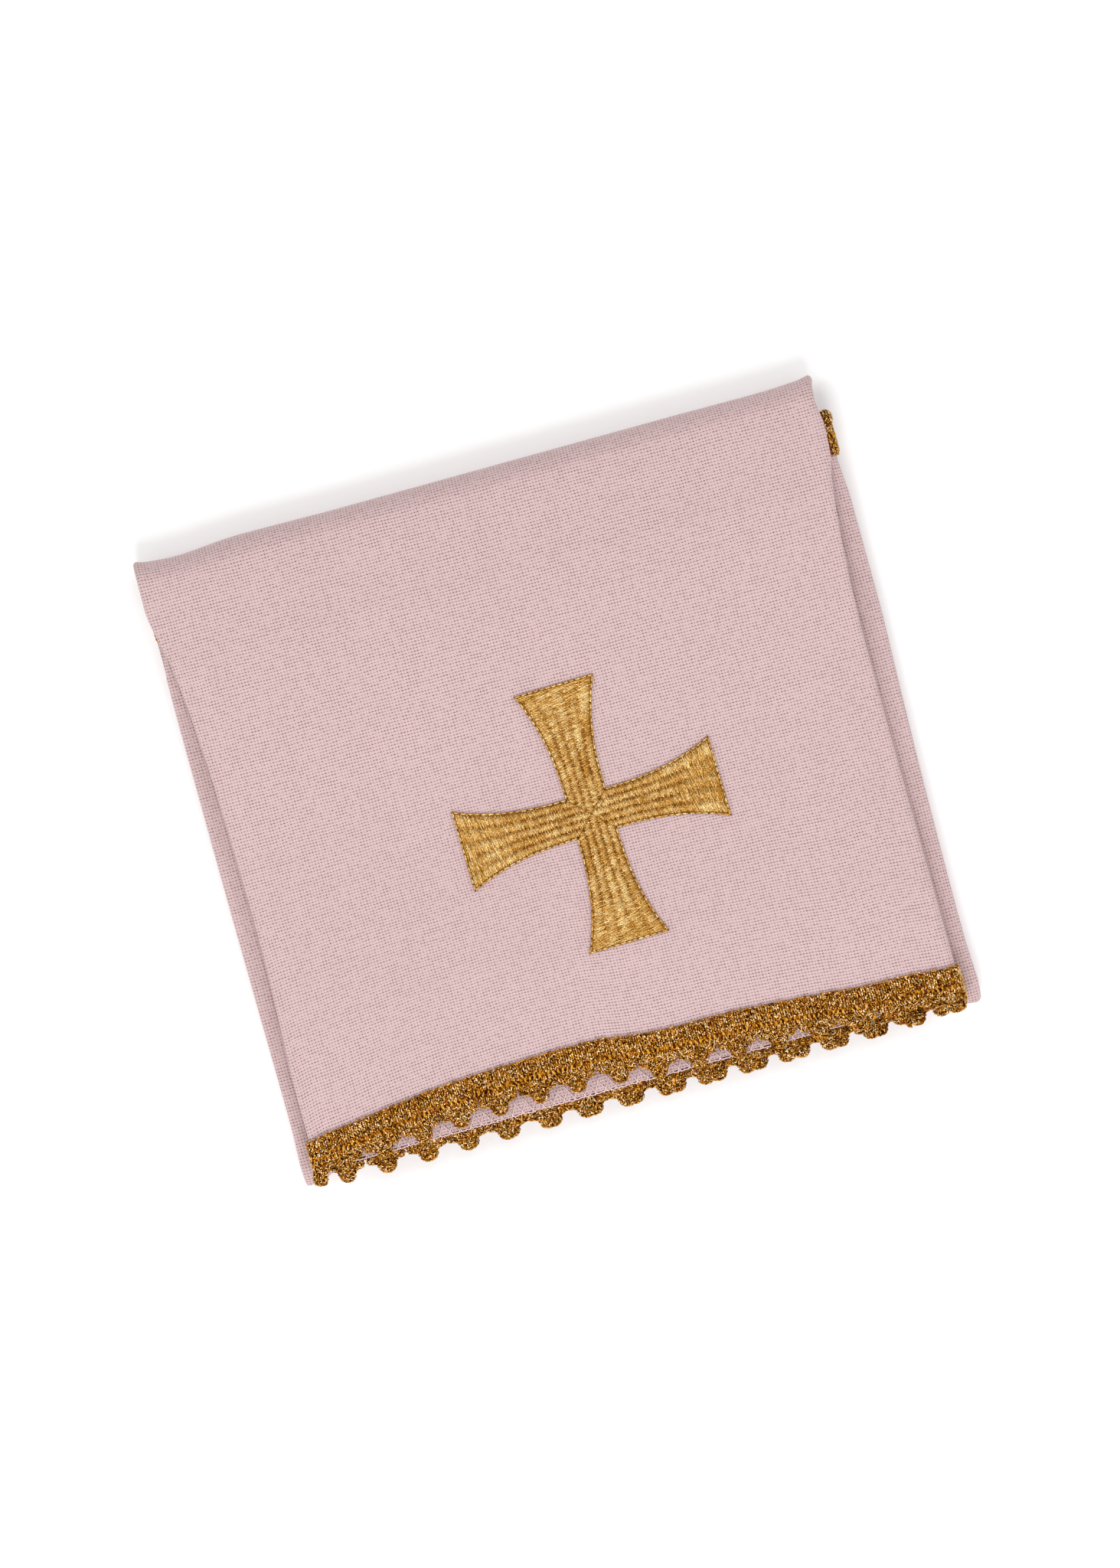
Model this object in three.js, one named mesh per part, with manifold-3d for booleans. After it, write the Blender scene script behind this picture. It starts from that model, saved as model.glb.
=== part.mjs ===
// Chalice veil: a square linen veil, folded in three both ways and laid flat. A gold knitted edging
// with picots is sewn along its front and back edges, and a gold flared cross is embroidered on it.
// Millimetres, +Z up, +Y from the edged front towards the top fold.

import * as THREE from "three";
import Module from "manifold-3d";
import { mergeVertices } from "three/addons/utils/BufferGeometryUtils.js";

// Driving sizes of the linen
const VEIL_SIDE = 550; // side of the square as it was cut
const CLOTH = 1.0; // thickness
const LAYER_GAP = 0.45; // air between two strips of the folded stack
const SEAT = 0.3; // air between the linen and what is sewn on it

// Driving sizes of the edging
const EDGING = 1.2; // thickness
const SEWN_IN = 7.1; // how far its band lies on the linen
const BAND = 7.0; // width of the plain band
const GAP_REACH = 7.8; // width in the gap between two picots
const FAN_REACH = 10.7; // width over the fan of a picot, beside its knob
const REACH = 13.6; // width over the knobs
const DROOP = 0.5; // how far the picots sink past the linen's edge

// Driving sizes of the cross
const CROSS_X = 6.95; // its middle, from the middle of the folded panel
const CROSS_Y = -11.75;
const CROSS_TURN = THREE.MathUtils.degToRad(1); // how far it stands askew to the fold
const ARM = 38.6; // length of an arm from the middle
const ARM_END = 11.9; // half width at the end of an arm
const ARM_WAIST = 5.95; // half width at the crossing
const ARM_FLARE = 2.4; // how late the arm flares
const STITCHED = 0.7; // thickness of the stitching between its ridges
const RIDGE = 0.3; // rise of each stitched ridge
const RIDGES = 5; // ridges along each arm
const ARM_ROOT = 0.8; // how far a side arm is set into the upright
const ARM_STEP = 6; // length of one facet along an arm

// Spacing of the three layers of a strip, middle to middle
const FLAP_DROP = 1.5; // panel to the left flap under it
const FLAP_STEP = 1.35; // left flap to right flap
const EDGED_STEP = CLOTH + EDGING + 2 * SEAT; // the same with edging between them

// Heights of the panel in the three strips, each resting on what lies under it
const MIDDLE_Z = CLOTH / 2;
const TUCKED_Z = MIDDLE_Z + 2 * (FLAP_DROP + FLAP_STEP) + CLOTH + LAYER_GAP;
const TUCKED_END_Z = MIDDLE_Z + 2 * FLAP_DROP + FLAP_STEP + 2 * EDGED_STEP;
const FRONT_Z = TUCKED_Z + CLOTH + LAYER_GAP + FLAP_DROP + FLAP_STEP;
const FRONT_EDGE_Z = TUCKED_Z + FLAP_DROP + 2 * EDGED_STEP;
const OVER_TUCKED_Z = TUCKED_END_Z + EDGED_STEP + FLAP_DROP + FLAP_STEP;

// The folds and edges along Y
const TOP_FOLD_Y = 93.0; // outermost line of the top fold
const BOTTOM_FOLD_Y = -90.6; // outermost line of the bottom fold
const FRONT_EDGE_Y = -89.6; // front edge of the linen
const TUCKED_EDGE_Y = 76.4; // back edge of the linen, tucked under the top fold
const TOP_RADIUS = (OVER_TUCKED_Z - MIDDLE_Z) / 2;
const BOTTOM_RADIUS = (TUCKED_Z - MIDDLE_Z) / 2;
const TOP_CENTRE_Y = TOP_FOLD_Y - TOP_RADIUS - CLOTH / 2;
const BOTTOM_CENTRE_Y = BOTTOM_FOLD_Y + BOTTOM_RADIUS + CLOTH / 2;

// Middle of the whole outline, which becomes the origin
const MIDDLE_X = 1.45;
const MIDDLE_Y = -1.24;

// Side folds of the front strip, from its edge to the top fold
const FRONT_SIDES = [
  { y: -89.6, left: -97.0, right: 96.5 },
  { y: -70, left: -96.9, right: 96.5 },
  { y: -22, left: -95.5, right: 96.5 },
  { y: 18, left: -95.9, right: 96.6 },
  { y: 43, left: -96.9, right: 97.7 },
  { y: 62, left: -98.7, right: 99.6 },
  { y: 71, left: -100.6, right: 101.4 },
  { y: 79, left: -101.7, right: 101.8 },
  { y: 86, left: -101.6, right: 101.0 },
  { y: 93, left: -101.7, right: 102.1 },
];

// Side folds of the middle strip, which lies underneath
const MIDDLE_SIDES = { left: -101.2, right: 101.4 };

// Side folds of the tucked strip, from the bottom fold to its edge
const TUCKED_SIDES = [
  { y: -89.6, left: -101.6, right: 102.1 },
  { y: -75, left: -101.1, right: 101.6 },
  { y: -33, left: -101.3, right: 102.1 },
  { y: 0, left: -101.4, right: 103.0 },
  { y: 28, left: -101.4, right: 103.8 },
  { y: 57, left: -101.2, right: 103.8 },
  { y: 67, left: -99.9, right: 103.1 },
  { y: 76, left: -99.9, right: 103.1 },
];

// Height of the front panel and the step between its flaps
const FRONT_LIE = [
  { y: -79, z: FRONT_EDGE_Z, step: EDGED_STEP },
  { y: -5, z: FRONT_Z, step: FLAP_STEP },
  { y: 62, z: OVER_TUCKED_Z, step: FLAP_STEP },
];

// Height of the tucked panel and the step between its flaps
const TUCKED_LIE = [
  { y: 28, z: TUCKED_Z, step: FLAP_STEP },
  { y: 66, z: TUCKED_END_Z, step: EDGED_STEP },
];

// How far the front edge of the panel is drawn up from a straight line
const FRONT_ARCH = [
  { x: -96, rise: 1.4 },
  { x: -92, rise: 2.5 },
  { x: -86, rise: 3.1 },
  { x: -70, rise: 5.1 },
  { x: -50, rise: 7.0 },
  { x: -22, rise: 7.8 },
  { x: -10, rise: 7.7 },
  { x: 0, rise: 6.3 },
  { x: 6, rise: 5.7 },
  { x: 18, rise: 5.2 },
  { x: 28, rise: 5.1 },
  { x: 52, rise: 3.6 },
  { x: 70, rise: 1.9 },
  { x: 84, rise: 1.5 },
  { x: 94, rise: 0.6 },
];
const ARCH_FADE = 110; // the arch dies out this far up the panel
const FLAP_FADE = 10; // and this far along a flap

// How far the top fold strays from a straight line
const TOP_WANDER = [
  { x: -101.5, stray: 0.8 },
  { x: -98, stray: 0 },
  { x: -89, stray: -0.7 },
  { x: -70, stray: 0.4 },
  { x: -40, stray: 0 },
  { x: 60, stray: -0.1 },
  { x: 84, stray: -0.3 },
  { x: 99, stray: 0.3 },
  { x: 101.6, stray: 1.2 },
];

// The same for the bottom fold, which is pulled out at its corners
const BOTTOM_WANDER = [
  { x: -101.6, stray: 3.4 },
  { x: -97, stray: 3.1 },
  { x: -92, stray: 1.2 },
  { x: -80, stray: 0 },
  { x: 76, stray: 0 },
  { x: 90, stray: 1.8 },
  { x: 98, stray: 3.5 },
  { x: 101.6, stray: 3.8 },
];

// Soft ridges and troughs in the front panel
const SOFT_WAVES = [
  { x: -76, y: 40, along: 60, across: 11, lift: -0.5 },
  { x: -60, y: -62, along: 12, across: 26, lift: -0.4 },
  { x: 62, y: 10, along: 60, across: 16, lift: 0.4 },
];
const WAVE_FADE = 25; // the waves die out over this much cloth below the top fold

// A smooth curve through the rows of a table that never overshoots them
function through(table, key, column, at) {
  const last = table.length - 1;
  const place = Math.min(Math.max(at, table[0][key]), table[last][key]);
  const rise = (k) => (table[k + 1][column] - table[k][column]) / (table[k + 1][key] - table[k][key]);
  const slope = (k) => {
    if (k === 0 || k === last) return 0;
    const before = rise(k - 1);
    const after = rise(k);
    return before * after > 0 ? (2 * before * after) / (before + after) : 0;
  };
  let k = 0;
  while (k < last - 1 && place > table[k + 1][key]) k += 1;
  const span = table[k + 1][key] - table[k][key];
  const s = (place - table[k][key]) / span;
  const bend = span * (s * (1 - s) ** 2 * slope(k) - s ** 2 * (1 - s) * slope(k + 1));
  return table[k][column] + (table[k + 1][column] - table[k][column]) * s * s * (3 - 2 * s) + bend;
}

const mix = THREE.MathUtils.lerp;

// How far a point of the front panel is drawn up by the arch
function arch(x, y) {
  const fade = 1 - THREE.MathUtils.smoothstep(y - FRONT_EDGE_Y, 0, ARCH_FADE);
  return through(FRONT_ARCH, "x", "rise", x) * fade;
}

// Lift of the soft waves at a point of the front panel
function softWave(x, y) {
  const fade = THREE.MathUtils.smoothstep(TOP_CENTRE_Y - y, 0, WAVE_FADE);
  return SOFT_WAVES.reduce((sum, w) => {
    const away = ((x - w.x) / w.across) ** 2 + ((y - w.y) / w.along) ** 2;
    return sum + fade * w.lift * Math.exp(-away);
  }, 0);
}

// One row across the folded cloth: where its panel runs, which way is out, and its side folds
function row(run, share) {
  if (run === "front") {
    const y = mix(FRONT_EDGE_Y, TOP_CENTRE_Y, share);
    const lie = { z: through(FRONT_LIE, "y", "z", y), step: through(FRONT_LIE, "y", "step", y) };
    return { y, ...lie, outY: 0, outZ: 1, ...sides(FRONT_SIDES, y), isFront: true };
  }
  if (run === "topFold") {
    const angle = Math.PI * (0.5 - share);
    const y = TOP_CENTRE_Y + TOP_RADIUS * Math.cos(angle);
    const z = MIDDLE_Z + TOP_RADIUS * (1 + Math.sin(angle));
    const above = sides(FRONT_SIDES, TOP_CENTRE_Y + (TOP_FOLD_Y - TOP_CENTRE_Y) * Math.min(1, 2 * share));
    const under = Math.max(0, 2 * share - 1);
    const edges = {
      left: mix(above.left, MIDDLE_SIDES.left, under),
      right: mix(above.right, MIDDLE_SIDES.right, under),
    };
    const out = { outY: Math.cos(angle), outZ: Math.sin(angle) };
    return { y, z, step: FLAP_STEP, ...out, ...edges, wander: TOP_WANDER };
  }
  if (run === "middle") {
    const y = mix(TOP_CENTRE_Y, BOTTOM_CENTRE_Y, share);
    return { y, z: MIDDLE_Z, step: FLAP_STEP, outY: 0, outZ: -1, ...MIDDLE_SIDES };
  }
  if (run === "bottomFold") {
    const angle = Math.PI * (-0.5 - share);
    const y = BOTTOM_CENTRE_Y + BOTTOM_RADIUS * Math.cos(angle);
    const z = MIDDLE_Z + BOTTOM_RADIUS * (1 + Math.sin(angle));
    const edges = {
      left: mix(MIDDLE_SIDES.left, TUCKED_SIDES[0].left, share),
      right: mix(MIDDLE_SIDES.right, TUCKED_SIDES[0].right, share),
    };
    const out = { outY: Math.cos(angle), outZ: Math.sin(angle) };
    return { y, z, step: FLAP_STEP, ...out, ...edges, wander: BOTTOM_WANDER };
  }
  const y = mix(BOTTOM_CENTRE_Y, TUCKED_EDGE_Y, share);
  const lie = { z: through(TUCKED_LIE, "y", "z", y), step: through(TUCKED_LIE, "y", "step", y) };
  return { y, ...lie, outY: 0, outZ: 1, ...sides(TUCKED_SIDES, y) };
}

function sides(table, y) {
  return { left: through(table, "y", "left", y), right: through(table, "y", "right", y) };
}

// Lengths across one row, from the free edge of the left flap to that of the right flap
function widths(at) {
  const leftR = FLAP_DROP / 2;
  const rightR = (FLAP_DROP + at.step) / 2;
  const leftX = at.left + CLOTH / 2 + leftR;
  const rightX = at.right - CLOTH / 2 - rightR;
  const panel = rightX - leftX;
  const flap = (VEIL_SIDE - panel - Math.PI * (leftR + rightR)) / 2;
  return { leftR, rightR, leftX, rightX, panel, flap };
}

// A point of the cloth's middle surface moved outward by lift, at a share of one zone of a row
function place(at, zone, share, lift, along = 0) {
  const w = widths(at);
  let x;
  let n;
  let outX = 0;
  let outN = -1;
  if (zone === "leftFlap") {
    x = mix(w.leftX + w.flap, w.leftX, share);
    n = -FLAP_DROP;
  } else if (zone === "leftFold") {
    const angle = -Math.PI * (0.5 + share);
    [outX, outN] = [Math.cos(angle), Math.sin(angle)];
    x = w.leftX + w.leftR * outX;
    n = w.leftR * (outN - 1);
  } else if (zone === "panel") {
    x = mix(w.leftX, w.rightX, share);
    n = 0;
    outN = 1;
  } else if (zone === "rightFold") {
    const angle = Math.PI * (0.5 - share);
    [outX, outN] = [Math.cos(angle), Math.sin(angle)];
    x = w.rightX + w.rightR * outX;
    n = w.rightR * (outN - 1);
  } else {
    x = mix(w.rightX, w.rightX - w.flap, share);
    n = -(FLAP_DROP + at.step);
  }
  const wave = at.isFront && zone === "panel" ? softWave(x, at.y) : 0;
  const out = n + outN * lift;
  const y = at.y + along + drawn(at, w, zone, x) + out * at.outY;
  return new THREE.Vector3(x + outX * lift, y, at.z + wave + out * at.outZ);
}

// How far a point strays along Y: with the arch of the front edge, or with the line of a fold
function drawn(at, w, zone, x) {
  if (at.wander) return through(at.wander, "x", "stray", x) * at.outY;
  if (!at.isFront) return 0;
  if (zone === "leftFlap") return flapArch(w.leftX, x - w.leftX, at.y);
  if (zone === "rightFlap") return flapArch(w.rightX, w.rightX - x, at.y);
  return arch(THREE.MathUtils.clamp(x, w.leftX, w.rightX), at.y);
}

// The arch on a flap, which dies out away from its fold
function flapArch(fold, away, y) {
  return arch(fold, y) * (1 - THREE.MathUtils.smoothstep(away, 0, FLAP_FADE));
}

// A closed solid from two matching grids of points, one on its outer face and one on its inner face
function gridSolid(outer, inner) {
  const rows = outer.length;
  const columns = outer[0].length;
  const points = [...outer.flat(), ...inner.flat()];
  const top = (r, c) => r * columns + c;
  const under = (r, c) => (rows + r) * columns + c;
  const faces = [];
  const quad = (a, b, c, d) => faces.push(a, b, c, a, c, d);
  for (let r = 0; r < rows - 1; r += 1) {
    for (let c = 0; c < columns - 1; c += 1) {
      quad(top(r, c), top(r, c + 1), top(r + 1, c + 1), top(r + 1, c));
      quad(under(r, c), under(r + 1, c), under(r + 1, c + 1), under(r, c + 1));
    }
    quad(top(r, 0), top(r + 1, 0), under(r + 1, 0), under(r, 0));
    quad(top(r + 1, columns - 1), top(r, columns - 1), under(r, columns - 1), under(r + 1, columns - 1));
  }
  for (let c = 0; c < columns - 1; c += 1) {
    quad(top(0, c + 1), top(0, c), under(0, c), under(0, c + 1));
    quad(top(rows - 1, c), top(rows - 1, c + 1), under(rows - 1, c + 1), under(rows - 1, c));
  }
  const geometry = new THREE.BufferGeometry().setFromPoints(points);
  geometry.setIndex(faces);
  return geometry;
}

// Shares that cut a stretch into equal steps, without its last one
const steps = (count, from = 0, to = 1) => Array.from({ length: count }, (_, i) => mix(from, to, i / count));

// The cloth: one section with its flaps turned under, swept along the three strips
const FOLD_STEPS = 6; // facets round a side fold
const SEWN_LENGTH = SEWN_IN + 1.2; // length of strip that lies flat under the edging
const FRONT_SEWN = SEWN_LENGTH / (TOP_CENTRE_Y - FRONT_EDGE_Y);
const TUCKED_SEWN = 1 - SEWN_LENGTH / (TUCKED_EDGE_Y - BOTTOM_CENTRE_Y);
const RUNS = [
  { run: "front", shares: [0, ...steps(13, FRONT_SEWN)] },
  { run: "topFold", shares: steps(9) },
  { run: "middle", shares: steps(4) },
  { run: "bottomFold", shares: steps(7) },
  { run: "tucked", shares: [...steps(10, 0, TUCKED_SEWN), TUCKED_SEWN, 1] },
];
const ZONES = [
  { zone: "leftFlap", shares: steps(4) },
  { zone: "leftFold", shares: steps(FOLD_STEPS) },
  { zone: "panel", shares: steps(12) },
  { zone: "rightFold", shares: steps(FOLD_STEPS) },
  { zone: "rightFlap", shares: [...steps(4), 1] },
];

function clothSolid() {
  const rows = RUNS.flatMap(({ run, shares }) => shares.map((share) => row(run, share)));
  const columns = ZONES.flatMap(({ zone, shares }) => shares.map((share) => ({ zone, share })));
  const face = (lift) => rows.map((at) => columns.map(({ zone, share }) => place(at, zone, share, lift)));
  return gridSolid(face(CLOTH / 2), face(-CLOTH / 2));
}

// Outline of one picot, from the gap before it to the tip of its knob and back
const HALF_PICOT = [
  { along: 0, reach: GAP_REACH },
  { along: 0.06, reach: 9.9 },
  { along: 0.27, reach: FAN_REACH },
  { along: 0.32, reach: 12.4 },
  { along: 0.41, reach: 13.4 },
  { along: 0.5, reach: REACH },
];
const MIRRORED = HALF_PICOT.slice(0, -1).reverse();
const PICOT = [...HALF_PICOT, ...MIRRORED.map(({ along, reach }) => ({ along: 1 - along, reach }))];

// Picots counted along the edge from the free corner of the left flap: closest round the left fold
const PICOT_RUN = [
  { across: 0, count: -0.45 },
  { across: 49.3, count: 3.5 },
  { across: 168.6, count: 13.5 },
  { across: 178.3, count: 14.5 },
  { across: 185.5, count: 15.5 },
  { across: 374.5, count: 31.5 },
  { across: 421.2, count: 35.5 },
  { across: VEIL_SIDE, count: 45.9 },
];

// A straight line from row to row of a table
function between(table, key, column, at) {
  const next = table.findIndex((line, i) => i > 0 && at <= line[key]);
  const k = next < 0 ? table.length - 1 : next;
  const [a, b] = [table[k - 1], table[k]];
  return mix(a[column], b[column], (at - a[key]) / (b[key] - a[key]));
}

const picotCount = (across) => between(PICOT_RUN, "across", "count", across);

function picotReach(across) {
  const phase = THREE.MathUtils.euclideanModulo(picotCount(across), 1);
  return between(PICOT, "along", "reach", phase);
}

// Where the picots' corners fall on a flat stretch, as shares of it, clear of its ends
function cornerShares(start, length, corners) {
  const first = Math.floor(picotCount(start));
  const count = Math.ceil(picotCount(start + length)) - first;
  const clear = 0.5 / length;
  return Array.from({ length: count }, (_, i) => first + i)
    .flatMap((n) => corners.map((k) => between(PICOT_RUN, "count", "across", n + PICOT[k].along)))
    .map((across) => (across - start) / length)
    .filter((share) => share > clear && share < 1 - clear);
}

// Stations along an edging: the picots' corners on the flat stretches, and close steps round the folds
function edgingStations(at, corners) {
  const w = widths(at);
  const stretches = [
    { zone: "leftFlap", length: w.flap },
    { zone: "leftFold", length: Math.PI * w.leftR },
    { zone: "panel", length: w.panel },
    { zone: "rightFold", length: Math.PI * w.rightR },
    { zone: "rightFlap", length: w.flap },
  ];
  const stations = [];
  let start = 0;
  for (const { zone, length } of stretches) {
    const shares = zone.endsWith("Fold") ? steps(FOLD_STEPS) : [0, ...cornerShares(start, length, corners)];
    for (const share of shares) stations.push({ zone, share, across: start + share * length });
    start += length;
  }
  stations.push({ zone: "rightFlap", share: 1, across: start });
  return stations;
}

// An edging: a scalloped band that follows the cloth's right side round both folds
function edgingSolid(at, direction, corners) {
  const stations = edgingStations(at, corners);
  const low = CLOTH / 2 + SEAT;
  const face = (lift) =>
    ["sewn", "edge", "tip"].map((line) =>
      stations.map(({ zone, share, across }) => {
        const reach = { sewn: 0, edge: BAND, tip: picotReach(across) }[line];
        const point = place(at, zone, share, lift, direction * (reach - SEWN_IN));
        if (line === "tip" && zone === "panel") point.z -= (DROOP * (reach - BAND)) / (REACH - BAND);
        return point;
      }),
    );
  const [outer, inner] = [face(low + EDGING), face(low)];
  if (direction < 0) {
    outer.reverse();
    inner.reverse();
  }
  return gridSolid(outer, inner);
}

// Height of the front panel's upper face at a point of the folded veil
function frontFace(x, y) {
  const unarched = y - arch(x, y);
  return through(FRONT_LIE, "y", "z", unarched) + softWave(x, unarched) + CLOTH / 2;
}

// One bar of the cross: ridged stitching from one distance to another along an arm
function crossBar(from, to, turn) {
  const across = 2 * RIDGES;
  const lengths = Math.round((to - from) / ARM_STEP);
  const face = (isTop) =>
    Array.from({ length: lengths + 1 }, (_, r) => {
      const away = mix(from, to, r / lengths);
      const flare = Math.max(0, (Math.abs(away) - ARM_WAIST) / (ARM - ARM_WAIST)) ** ARM_FLARE;
      const half = mix(ARM_WAIST, ARM_END, flare);
      return Array.from({ length: across + 1 }, (__, c) => {
        const side = mix(-half, half, c / across);
        const x = CROSS_X + side * Math.cos(turn) - away * Math.sin(turn);
        const y = CROSS_Y + side * Math.sin(turn) + away * Math.cos(turn);
        const rise = isTop ? STITCHED + RIDGE * (c % 2) : 0;
        return new THREE.Vector3(x, y, frontFace(x, y) + SEAT + rise);
      });
    });
  return gridSolid(face(true), face(false));
}

const solids = await Module();
solids.setup();

function toManifold(geometry) {
  const merged = mergeVertices(geometry, 1e-4);
  const mesh = new solids.Mesh({
    numProp: 3,
    vertProperties: new Float32Array(merged.attributes.position.array),
    triVerts: new Uint32Array(merged.index.array),
  });
  return new solids.Manifold(mesh);
}

// The cross: an upright bar with an arm set into each of its sides
function crossSolid() {
  const upright = toManifold(crossBar(-ARM, ARM, CROSS_TURN));
  const leftArm = toManifold(crossBar(ARM_WAIST - ARM_ROOT, ARM, CROSS_TURN + Math.PI / 2));
  const rightArm = toManifold(crossBar(ARM_WAIST - ARM_ROOT, ARM, CROSS_TURN - Math.PI / 2));
  const mesh = upright.add(leftArm).add(rightArm).getMesh();
  const geometry = new THREE.BufferGeometry();
  geometry.setAttribute("position", new THREE.BufferAttribute(mesh.vertProperties, 3));
  geometry.setIndex(new THREE.BufferAttribute(mesh.triVerts, 1));
  return geometry;
}

// The named parts
function part(name, geometry, colour, roughness, metalness) {
  geometry.translate(-MIDDLE_X, -MIDDLE_Y, 0);
  geometry.computeVertexNormals();
  const material = new THREE.MeshStandardMaterial({ color: colour, roughness, metalness });
  const mesh = new THREE.Mesh(geometry, material);
  mesh.name = name;
  return mesh;
}

// Which corners of a picot each edging draws
const ROUND_PICOTS = [0, 1, 2, 3, 4, 6, 7, 8, 9];
const PLAIN_PICOTS = [0, 2, 5, 8];

const veil = new THREE.Group();
veil.name = "chalice_veil";
veil.add(part("veil_cloth", clothSolid(), 0xd6b8b7, 0.9, 0));
veil.add(part("front_edging", edgingSolid(row("front", 0), -1, ROUND_PICOTS), 0x96663a, 0.45, 0.6));
veil.add(part("back_edging", edgingSolid(row("tucked", 1), 1, PLAIN_PICOTS), 0x96663a, 0.45, 0.6));
veil.add(part("cross_embroidery", crossSolid(), 0xbb8c48, 0.5, 0.4));

export default veil;
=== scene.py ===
import math
import random
from functools import partial
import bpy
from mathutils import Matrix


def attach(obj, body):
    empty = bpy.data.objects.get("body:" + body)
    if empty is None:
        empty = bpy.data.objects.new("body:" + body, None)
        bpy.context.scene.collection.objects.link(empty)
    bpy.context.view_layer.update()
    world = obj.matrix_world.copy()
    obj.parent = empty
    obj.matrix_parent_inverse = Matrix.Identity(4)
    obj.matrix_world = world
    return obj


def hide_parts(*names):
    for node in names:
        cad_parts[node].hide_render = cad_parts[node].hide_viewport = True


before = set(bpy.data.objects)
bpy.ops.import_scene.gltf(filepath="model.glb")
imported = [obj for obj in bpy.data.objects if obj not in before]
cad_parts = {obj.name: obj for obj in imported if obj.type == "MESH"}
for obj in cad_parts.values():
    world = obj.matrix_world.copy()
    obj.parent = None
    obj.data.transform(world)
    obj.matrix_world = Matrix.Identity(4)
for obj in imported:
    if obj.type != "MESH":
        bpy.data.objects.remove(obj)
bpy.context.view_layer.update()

from types import SimpleNamespace

import bpy
from bpy.props import FloatProperty, FloatVectorProperty, IntProperty, PointerProperty
from mathutils import Matrix, Vector, noise

bl_info = {
    "name": "Chalice veil",
    "version": (1, 0, 0),
    "blender": (4, 5, 0),
    "location": "View3D > Sidebar > Veil",
    "description": "Dresses a folded chalice veil: woven linen, knitted gold edging and a stitched cross",
    "category": "Object",
}

MM = 0.001
ROOT = "root"
SEED = 7
UP = Vector((0, 0, 1))
SHARP_ANGLE = math.radians(60)

# The photograph's height in pixels
PHOTO_HEIGHT = 2048


# Sizes and colours that a user would change

def length(name, description, millimetres):
    """A length property, given in millimetres."""
    return FloatProperty(
        name=name, description=description, default=millimetres * MM, unit="LENGTH", precision=5
    )


def angle(name, description, degrees):
    """An angle property, given in degrees."""
    return FloatProperty(name=name, description=description, default=math.radians(degrees), subtype="ANGLE")


def linear(hex_colour):
    """An sRGB hex colour as linear red, green and blue."""
    channels = [int(hex_colour[i:i + 2], 16) / 255 for i in (1, 3, 5)]
    return tuple(c / 12.92 if c <= 0.04045 else ((c + 0.055) / 1.055) ** 2.4 for c in channels)


def colour(name, description, hex_colour):
    """A colour property, given as an sRGB hex value."""
    return FloatVectorProperty(
        name=name, description=description, default=linear(hex_colour), size=3, subtype="COLOR", min=0, max=1
    )


class LinenSettings(bpy.types.PropertyGroup):
    """The linen and how it lies folded."""

    side: length("Cut side", "Side of the square as it was cut", 550)
    thickness: length("Thickness", "Thickness of the woven linen", 0.75)
    solid: length("Stack thickness", "Room that one layer takes in the folded stack", 1.0)
    layer_gap: length("Layer gap", "Air between two strips of the stack", 0.45)
    flap_drop: length("Flap drop", "From the panel down to the left flap", 1.5)
    flap_step: length("Flap step", "From the left flap down to the right flap", 1.35)
    edged_step: length("Edged step", "From flap to flap where edging lies between them", 2.8)
    top_fold: length("Top fold", "Outermost line of the top fold", 93.0)
    bottom_fold: length("Bottom fold", "Outermost line of the bottom fold", -90.6)
    front_edge: length("Front edge", "Front edge of the linen", -89.6)
    tucked_edge: length("Tucked edge", "Back edge of the linen, tucked under the top fold", 76.4)
    middle_x: length("Middle across", "Middle of the folded outline, across", 1.45)
    middle_y: length("Middle along", "Middle of the folded outline, along", -1.24)
    weave: length("Weave", "Distance from one thread of the weave to the next", 0.9)
    thread: colour("Thread", "Colour of the linen thread", "#CAAFAF")
    # Painted shade: the hole colour is mixed into the low parts of the weave, between the threads
    hole_shade: colour("Hollow", "Colour in the holes between threads", "#54322F")


class EdgingSettings(bpy.types.PropertyGroup):
    """The knitted edging with its picots."""

    seat: length("Seat", "Air between the linen and the edging", 0.15)
    thickness: length("Thickness", "Thickness of the knitted ground", 0.7)
    sewn_in: length("Sewn in", "How far the band lies on the linen", 7.1)
    band: length("Band", "Width of the plain band", 7.0)
    reach: length("Reach", "Width over the knobs of the picots", 13.6)
    wale: length("Stitch spacing", "Distance from one knitted stitch to the next", 1.4)
    yarn: length("Yarn", "Thickness of the metallic yarn", 0.5)
    # Painted glint and painted shade: the bright and dark ends of the yarn's colour ramp, with the gold
    # between
    painted_glint: colour("Glint", "Colour of the yarn where it catches light", "#FFE8BA")
    gold: colour("Gold", "Colour of the yarn", "#D6971F")
    shade: colour("Shade", "Colour of the yarn in its folds", "#7A3604")


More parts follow.
